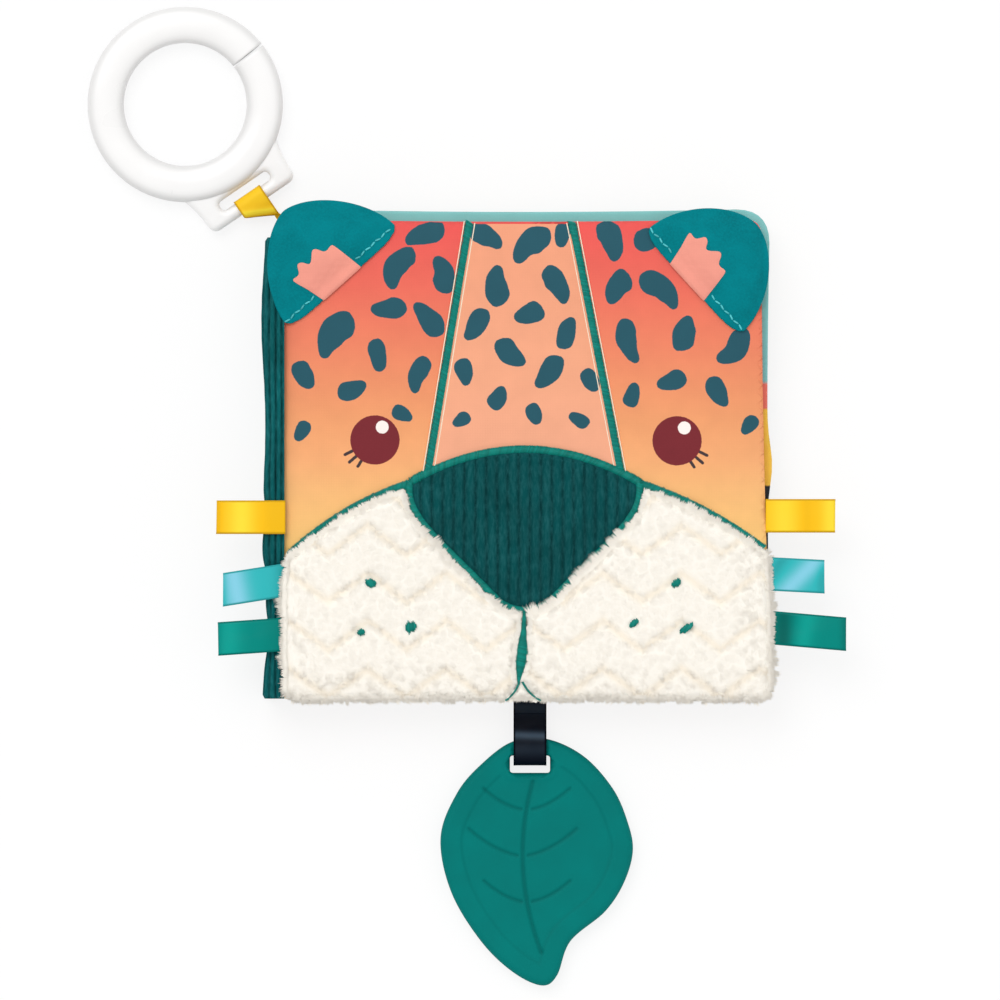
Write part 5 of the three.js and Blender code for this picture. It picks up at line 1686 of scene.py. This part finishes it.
class CLOTHBOOK_OT_spine(bpy.types.Operator):
    """Bind the covers with the corduroy spine and its margins"""

    bl_idname = "clothbook.spine"
    bl_label = "Spine"

    def execute(self, context):
        """Make the two halves of the spine, which meet in its middle."""
        colours = context.scene.cloth_book_colours
        pitch = context.scene.cloth_book_sizes.spine_wale / MM
        # Stronger painted highlight on the ribs and painted shade in the valleys than the nose's corduroy
        corduroy = pile_fabric("narrow_corduroy", colours.corduroy, 1.5, 0.12)
        middle = (BACK_Z + FRONT_Z) / 2
        # Each half: its side, the height of its cover, the radius of its turn, where its strip lies,
        # and the two bodies that it joins between two heights
        halves = (
            ("front", 1, FRONT_Z, 2.9, 22.75, ("spine", "front_cover"), (17.4, 20.4)),
            ("back", -1, BACK_Z, 2.6, 0.35, ("back_cover", "spine"), (2.6, 5.6)),
        )
        for name, sign, end_z, radius, lie, bodies, heights in halves:
            turn = arc(-87.9, end_z, radius, 180, 180 - sign * 90, 10)
            path = np.concatenate([[(SPINE_OUT - 0.4, middle), (SPINE_OUT - 0.6, end_z - sign * 4)], turn])
            path = np.concatenate([path[:-1], [(-86.6, lie), (MARGIN_RIGHT - 0.2, lie - sign * 0.2)]])
            path = resampled(path, 0.22)
            tangent = unit(np.gradient(path, axis=0))
            ys = np.linspace(SPINE_BOTTOM, SPINE_TOP, 120)
            s, y = (grid.ravel() for grid in np.meshgrid(distances(path), ys, indexing="ij"))
            normal = np.c_[-tangent[:, 1], tangent[:, 0]] * sign
            middles, normals = (np.repeat(rows, len(ys), 0) for rows in (path, normal))
            spread = np.c_[s, y * 0.25]
            rib = wale_height(s + pitch / 2 + 0.25 * rough(spread, 7, 2.0 + sign), pitch)
            ends = smoothstep(np.minimum(y - SPINE_BOTTOM, SPINE_TOP - y), 0, 1.5)
            # The cloth is nipped in a little where each tag is sewn down
            nip = sum(bell(y - JOINTS[f"tag_left_{tag}_bend"][1], 7) for tag in TAG_SLANTS["left"])
            push = (1.15 * rib - 0.3 + 0.12 * rough(spread, 1.3, 7.7)) * ends + 0.45 * rough(spread, 9, 1.2)
            push -= smoothstep(-middles[:, 0], 86.5, 89) * (1.2 * nip - 0.7 * np.cos(y / 11.5 + 2.1))
            sides = (middles + normals * push[:, None], middles - normals * 0.7)
            points = np.concatenate([np.c_[p[:, 0], y, p[:, 1]] for p in sides])
            points[:, 2] = np.maximum(points[:, 2], 0.03)
            faces, index = both_sides(len(path), len(ys))
            for line in (index[:, 0], index[:, -1], index[0], index[-1]):
                p, q = line[MORE], line[LESS]
                faces.append(np.stack([p, q, q + index.size, p + index.size], 1))
            made = face_out(make_mesh(f"spine_{name}_corduroy", points, faces, corduroy, rib=np.tile(rib, 2)))
            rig.replaces(made, f"{name}_margin_strip", "spine_cloth")
            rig.slot(made, "corduroy")
            start, end = ((HINGE_X * MM, 0, z * MM) for z in heights)
            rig.blend(made, *bodies, start, end)
        return {"FINISHED"}


class CLOTHBOOK_OT_tags(bpy.types.Operator):
    """Fold the six satin ribbon tags and sew them in at both sides of the muzzle"""

    bl_idname = "clothbook.tags"
    bl_label = "Ribbon tags"

    def execute(self, context):
        """Make the tags."""
        colours = context.scene.cloth_book_colours
        width = context.scene.cloth_book_sizes.ribbon_width / MM
        for k, (side, slants) in enumerate(TAG_SLANTS.items()):
            # The way out, and how far a tag reaches in past its seam
            sign, back = (-1, 1.0) if side == "left" else (1, 1.8)
            for j, (name, slant) in enumerate(slants.items()):
                root, y, z = JOINTS[f"tag_{side}_{name}_bend"]
                low, high = node_box(f"tag_{side}_{name}")
                # How far it reaches out from its seam
                size = round(max(root - low[0], high[0] - root), 2)
                bright = getattr(colours, f"{name}_gleam")
                cloth = satin(f"{name}_satin_ribbon", getattr(colours, name), bright)
                t = np.linspace(0, 1, 26)
                gap = 0.35 + 0.75 * np.sin(math.pi * np.clip(t * 1.1, 0, 1)) ** 0.8
                reach = -back + (size + back - 0.9) * t
                upper, lower = np.c_[reach, gap], np.c_[reach, -gap * 0.8][::-1]
                bend = arc(size - 0.9, 0, 0.62, 80, -80, 8)
                profile = resampled(np.concatenate([upper[:-1], bend, lower[1:]]), 0.7)
                path = np.c_[root + sign * profile[:, 0], np.full(len(profile), y), z + profile[:, 1]]

                def wave(s, v, j=j, k=k, size=size):
                    swell = 0.28 * np.sin(s * 0.19 + j * 1.7 + k) * (1 - 0.4 * v)
                    return swell * smoothstep(s, 1, 8) * smoothstep(2 * size - s, 1, 8)

                # Painted highlights, and painted shade at the root and the fold, along the tag
                def gleam(points, across, marks=GLEAMS[f"{side}_{name}"], root=root, sign=sign, size=size):
                    share = (points[:, 0] - root) * sign / size
                    return sum(a * bell(share - p - c * across, w) for p, w, c, a in marks)

                piece, shear = f"tag_{side}_{name}_ribbon", math.tan(math.radians(slant))
                made = swept(piece, path, (0, 1, 0), width, 0.34, cloth, 10, gleam, wave, shear)
                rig.replaces(made, f"tag_{side}_{name}")
                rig.slot(made, f"{name}_satin")
                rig.sheet(made, flat=(width * MM, distances(profile)[-1] * MM), held="folded")
                start, end = (((root + sign * reach) * MM, y * MM, z * MM) for reach in (-0.1, 2.4))
                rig.blend(made, "front_cover", f"tag_{side}_{name}", start, end)
        return {"FINISHED"}


def leaf_loop():
    """Outline of the leaf from its slotted top, through its tip and back."""
    shares = (
        (0.06, 1), (0.14, 0.96), (0.21, 0.82), (0.39, 0.7), (0.49, 0.58), (0.535, 0.45),
        (0.505, 0.33), (0.43, 0.2), (0.28, 0.07), (0.09, 0), (-0.09, 0.01), (-0.25, 0.1),
        (-0.38, 0.22), (-0.465, 0.4), (-0.41, 0.62), (-0.255, 0.82), (-0.09, 0.945),
    )  # fmt: skip
    loop = smooth_loop([(x, -y) for x, y in shares], 10)
    x, y = (loop * LEAF_SIZE / np.ptp(loop, axis=0)).T
    return np.c_[TEETHER_X + x, LEAF_TOP + y - y.max()]


class CLOTHBOOK_OT_leaf(bpy.types.Operator):
    """Mould the silicone leaf teether with its slot, border and veins"""

    bl_idname = "clothbook.leaf"
    bl_label = "Leaf teether"

    def execute(self, context):
        """Make the leaf."""
        silicone = moulded_silicone("moulded_silicone", context.scene.cloth_book_colours.silicone)
        loop = resampled(anticlockwise(leaf_loop()), 0.8, True)
        slot_top, x, y, r = LEAF_SLOT.values()
        middle = slot_top - y - r
        corners = ((x, y, 0), (-x, y, 90), (-x, -y, 180), (x, -y, 270))
        hole = [arc(TEETHER_X + x, middle + y, r, turn, turn + 90, 4) for x, y, turn in corners]
        hole = np.concatenate(hole)
        flat, triangles, chains = fill(loop, 0.62, holes=[hole], insets=(0.12, 0.4, 0.9, 1.5))
        rim, from_hole = nearest(flat, loop)[0], nearest(flat, hole)[0]
        away = np.minimum(rim, from_hole * 2.2)
        half = 1.3 + 2.2 * rounded(np.where(away < 1e-6, 0, away), 2.4)
        # A low border runs round the leaf, and the field inside it is sunk
        half = half - 0.35 * smoothstep(rim, 7.0, 8.2) * smoothstep(from_hole, 1.5, 3.5)
        # The ribbon lies in a channel over the bridge at the leaf's top
        channel = smoothstep(6.9 - np.abs(flat[:, 0] - TEETHER_X), 0, 0.5) * (flat[:, 1] > slot_top - 3)
        half = np.minimum(half, half + (2.5 - half) * channel)
        start, end = np.array([TEETHER_X + 1.0, slot_top - 9.3]), np.array([TEETHER_X + 4.0, LEAF_TOP - 76.8])

        def on_midrib(t):
            return start + (end - start) * t + np.array([-20 * t * (1 - t), 0])

        midrib = np.array([on_midrib(t) for t in np.linspace(0, 1, 20)])
        veins = nearest(flat, midrib, False)[0] - 0.2
        for i in range(3):
            x, y = on_midrib((i + 0.6) / 3.7)
            reach = 17.5 * math.sin(math.pi * (i + 1.3) / 4.6)
            for out in (-reach, reach):
                first = x + math.copysign(1.9, out)
                line = [(first, y), (first + out / 2, y + reach * 0.1), (first + out, y + reach * 0.55)]
                veins = np.minimum(veins, nearest(flat, bezier(line, 14), False)[0])
        groove = bell(np.clip(veins, 0, 9), 0.5)
        border = bell(rim - 7.6, 0.5) * (from_hole > 4)
        half = half - 0.6 * groove - 0.12 * border
        # Painted shade in the veins' grooves and, more faintly, along the border
        shade = np.clip(0.6 * groove + 0.2 * border, 0, 1)
        top, bottom = LEAF_Z + half, LEAF_Z - half
        made = slab("leaf_teether_moulding", flat, triangles, chains, top, bottom, silicone, groove=shade)
        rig.replaces(made, "leaf_teether")
        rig.slot(made, "silicone")
        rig.ride(made, "teether")
        return {"FINISHED"}


class CLOTHBOOK_OT_teether_ribbon(bpy.types.Operator):
    """Hang the leaf on its navy ribbon"""

    bl_idname = "clothbook.teether_ribbon"
    bl_label = "Teether ribbon"

    def execute(self, context):
        """Make the ribbon in three pieces: the strap's two layers, and the loop that meets them where the strap ends.
        """
        # The second colour is the navy satin's painted highlight
        navy = satin("navy_satin_ribbon", context.scene.cloth_book_colours.navy, linear("#47596a"))
        width = context.scene.cloth_book_sizes.ribbon_width / MM - 0.2
        meet = -91.0
        upper = [(-84.9, 3.75), (-88, 4.1), (meet, 4.3)]
        lower = [(meet, 2.9), (-88, 3.1), (-84.9, 3.3)]
        round_bridge = [
            (meet, 4.3), (-95.5, 4.9), (-98.2, 6.1), (-99.6, 6.95), (-101, 7.25), (-104.5, 7.3),
            (-107.4, 6.9), (-109.2, 5.6), (-109.8, 3.9), (-109.2, 2.2), (-107.4, 0.85), (-104.5, 0.45),
            (-101, 0.45), (-99.2, 0.8), (-96, 1.9), (meet, 2.9),
        ]  # fmt: skip
        pieces = (
            ("upper_strap", upper, ("back_cover", "teether_strap"), (-85.4, -87.4), "teether_strap"),
            ("lower_strap", lower, ("back_cover", "teether_strap"), (-85.4, -87.4), None),
            ("loop", round_bridge, ("teether_strap", "teether"), (-95.2, -98.0), "teether_loop"),
        )
        for name, route, bodies, ends, node in pieces:
            curve = smoothed(resampled(np.array(route, float), 0.5), 6)
            path = np.c_[np.full(len(curve), TEETHER_X), curve]

            def gleam(points, across):
                # Painted highlights where the ribbon climbs over the leaf's rim, and fainter ones on the strap and
                # over the bridge
                y, high = points[:, 1], points[:, 2] > LEAF_Z
                climb = 0.8 * bell(y + 98.9 + 0.2 * across, 1.3) + 0.25 * bell(y + 89, 2.4)
                return np.where(high, climb + 0.15 * bell(y + 104, 2.5), 0)

            made = swept(f"teether_ribbon_{name}", path, (1, 0, 0), width, 0.36, navy, 10, gleam)
            if node:
                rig.replaces(made, node)
            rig.slot(made, "navy_satin")
            cut = distances(curve)[-1]
            if cut >= 10:
                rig.sheet(made, flat=(width * MM, cut * MM), held="folded")
            start, end = ((TEETHER_X * MM, y * MM, LEAF_Z * MM) for y in ends)
            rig.blend(made, *bodies, start, end)
        return {"FINISHED"}


def ring_place(points):
    """Points made about the ring's middle with its base towards -Y, set in their place by the book."""
    a = math.radians(BASE_AT + 90)
    turn = np.array([[math.cos(a), math.sin(a)], [-math.sin(a), math.cos(a)]])
    made = np.array(points, float)
    made[:, :2] = made[:, :2] @ turn + RING_MIDDLE
    return made


class CLOTHBOOK_OT_ring(bpy.types.Operator):
    """Mould the split ring and its slotted base"""

    bl_idname = "clothbook.ring"
    bl_label = "Ring"

    def execute(self, context):
        """Make the hoop and the base."""
        plastic = moulded_plastic("moulded_abs", context.scene.cloth_book_colours.plastic)
        t = np.linspace(0, 2 * math.pi, 28, endpoint=False)
        section = ((HOOP_WIDE, np.cos(t)), (HOOP_THICK, np.sin(t)))
        radius, z = (size * np.sign(v) * np.abs(v) ** 0.7 for size, v in section)
        radius = radius + HOOP_RADIUS
        # A shallow step runs round the hoop between its lip and its body
        step = smoothstep(radius, 25.6, 26.3)
        z = z * (0.9 + 0.1 * step)
        opening = math.degrees(HOOP_SPLIT / HOOP_RADIUS)
        first = HOOP_SPLIT_AT - BASE_AT - 90
        angles = np.radians(np.linspace(first + opening, first + 360 - opening, 190))
        rows = np.array([np.c_[radius * math.cos(a), radius * math.sin(a), z + HOOP_THICK] for a in angles])
        index = np.arange(rows.shape[0] * rows.shape[1]).reshape(rows.shape[:2])
        a, b = index[:-1], index[1:]
        walls = np.stack([a, b, np.roll(b, -1, 1), np.roll(a, -1, 1)], -1).reshape(-1, 4)
        faces = [walls, index[0][::-1][None], index[-1][None]]
        # Painted shade: its steep sides are darker than its top, so that its white edge shows against the white floor
        worn = np.tile(smoothstep(np.abs(np.cos(t)), 0.3, 0.95), len(rows))
        hoop = face_out(make_mesh("ring_hoop", ring_place(rows.reshape(-1, 3)), faces, plastic, worn=worn))
        (wide, high), low, half = BASE_TOP, BASE_LOW, BASE_LOW_HALF
        lower = low + BASE_CORNER
        plate = [
            [(wide, high)],
            arc(0, 0, 27.5, 315, 225, 20),
            [(-wide, high)],
            bezier([(-wide, high), (-half - 0.4, high - 5.5), (-half, lower + 0.5)], 10)[1:],
            arc(BASE_CORNER - half, lower, BASE_CORNER, 180, 270, 6)[1:],
            arc(half - BASE_CORNER, lower, BASE_CORNER, 270, 360, 6),
            bezier([(half, lower + 0.5), (half + 0.4, high - 5.5), (wide, high)], 10)[:-1],
        ]
        plate = resampled(np.concatenate(plate), 0.8, True)
        r = BASE_SLOT["corner"]
        x, floor, ceiling = BASE_SLOT["half"] - r, low + BASE_SLOT["low"] + r, low + BASE_SLOT["high"] - r
        corners = ((x, floor, 270), (x, ceiling, 0), (-x, ceiling, 90), (-x, floor, 180))
        slot = np.concatenate([arc(*place, r, turn, turn + 90, 5) for *place, turn in corners])
        flat, triangles, chains = fill(plate, 0.6, holes=[slot], insets=(0.08, 0.3, 0.7))
        away = np.minimum(nearest(flat, plate)[0], nearest(flat, slot)[0])
        half = 0.25 + 2.2 * rounded(away, 2.3)
        turned = ring_place(np.c_[flat, half])[:, :2]
        made = slab("ring_base", turned, triangles, chains, BASE_Z + half, BASE_Z - half, plastic)
        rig.replaces(hoop, "ring")
        for piece in (hoop, made):
            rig.slot(piece, "white_plastic")
            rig.ride(piece, "ring")
        return {"FINISHED"}


class CLOTHBOOK_OT_ring_ribbon(bpy.types.Operator):
    """Loop the yellow ribbon round the ring's bar"""

    bl_idname = "clothbook.ring_ribbon"
    bl_label = "Ring ribbon"

    def execute(self, context):
        """Make the ribbon."""
        colours = context.scene.cloth_book_colours
        yellow = satin("yellow_satin_ribbon", colours.yellow, colours.yellow_gleam)
        bar = -BAR_REACH
        upper = [(bar - 13.6, 3.75), (bar - 10, 4.2), (bar - 6, 5.1), (bar - 3, 6.05)]
        wrap = arc(bar, BASE_Z, 2.95, 100, -100, 16)
        lower = [(bar - 3, 0.75), (bar - 6, 1.9), (bar - 10, 2.75), (bar - 13.6, 3.2)]
        route = smoothed(resampled(np.concatenate([upper, wrap, lower]), 0.5), 3)
        path = np.c_[np.zeros(len(route)), route]

        def past_crease(points):
            """How far places lie past the slanted crease where the ribbon turns down to the seam."""
            return bar - points[:, 1] - (6.6 + 0.5 * points[:, 0])

        def gleam(points, across):
            # Painted highlight just before the crease, and painted shade past it where the ribbon turns down to the
            # seam
            past = past_crease(points)
            lit = 0.35 + bell(past + 1.7, 0.9) - 1.1 * smoothstep(past, -0.5, 0.4)
            return np.where(points[:, 2] > BASE_Z, lit - 0.12 * bell(past + 4.5, 2), 0)

        made = swept("ring_ribbon", path, (1, 0, 0), RING_RIBBON, 0.36, yellow, 12, gleam)
        points = np.array([v.co for v in made.data.vertices]) / MM
        # Past the crease the ribbon is gathered to one side, and drops to the seam
        past = past_crease(points)
        gathered = smoothstep(past, -0.4, 4.5)
        upper = np.clip((points[:, 2] - BASE_Z) / 1.5, 0, 1)
        points[:, 2] -= upper * (0.5 * smoothstep(past, -0.7, 0.7) - 0.35 * bell(past + 1.8, 1.1))
        points[:, 0] += gathered * (6.6 - 0.5 * points[:, 0])
        made.data.vertices.foreach_set("co", (ring_place(points) * MM).astype(np.float32).ravel())
        made.data.update()
        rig.replaces(made, "ring_strap")
        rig.slot(made, "yellow_satin")
        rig.sheet(made, flat=(RING_RIBBON * MM, distances(route)[-1] * MM), held="folded")
        start, end = ring_place([(0, bar - 12.6, BASE_Z), (0, bar - 9.5, BASE_Z)]) * MM
        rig.blend(made, "back_cover", "ring_strap", tuple(start), tuple(end))
        return {"FINISHED"}


class CLOTHBOOK_PT_panel(bpy.types.Panel):
    """The book's pieces, sizes and colours"""

    bl_idname = "CLOTHBOOK_PT_panel"
    bl_label = "Cloth book"
    bl_space_type = "VIEW_3D"
    bl_region_type = "UI"
    bl_category = "Cloth book"

    def draw(self, context):
        """List the operators and the settings."""
        for operator in OPERATORS:
            self.layout.operator(operator.bl_idname)
        for group in (context.scene.cloth_book_sizes, context.scene.cloth_book_colours):
            for key in group.__annotations__:
                self.layout.prop(group, key)


OPERATORS = (
    CLOTHBOOK_OT_stage,
    CLOTHBOOK_OT_leaves,
    CLOTHBOOK_OT_front_cover,
    CLOTHBOOK_OT_forehead,
    CLOTHBOOK_OT_nose,
    CLOTHBOOK_OT_muzzle,
    CLOTHBOOK_OT_embroidery,
    CLOTHBOOK_OT_ears,
    CLOTHBOOK_OT_spine,
    CLOTHBOOK_OT_tags,
    CLOTHBOOK_OT_leaf,
    CLOTHBOOK_OT_teether_ribbon,
    CLOTHBOOK_OT_ring,
    CLOTHBOOK_OT_ring_ribbon,
)
CLASSES = (ClothBookColours, ClothBookSizes, *OPERATORS, CLOTHBOOK_PT_panel)


def register():
    """Add the book's classes and settings to Blender."""
    for made in CLASSES:
        bpy.utils.register_class(made)
    bpy.types.Scene.cloth_book_colours = PointerProperty(type=ClothBookColours)
    bpy.types.Scene.cloth_book_sizes = PointerProperty(type=ClothBookSizes)


def unregister():
    """Take them out again."""
    del bpy.types.Scene.cloth_book_sizes
    del bpy.types.Scene.cloth_book_colours
    for made in reversed(CLASSES):
        bpy.utils.unregister_class(made)


def main():
    """Build the whole book and write its sizes."""
    register()
    noise.seed_set(4)
    for operator in OPERATORS:
        group, name = operator.bl_idname.split(".")
        getattr(getattr(bpy.ops, group), name)()
    boxes = {"cad": [list(corner) for corner in CAD_BOX], "visual": [list(corner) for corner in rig.bounds()]}
    with open("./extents.json", "w") as file:
        json.dump(boxes, file, indent=1)


if __name__ == "__main__":
    main()
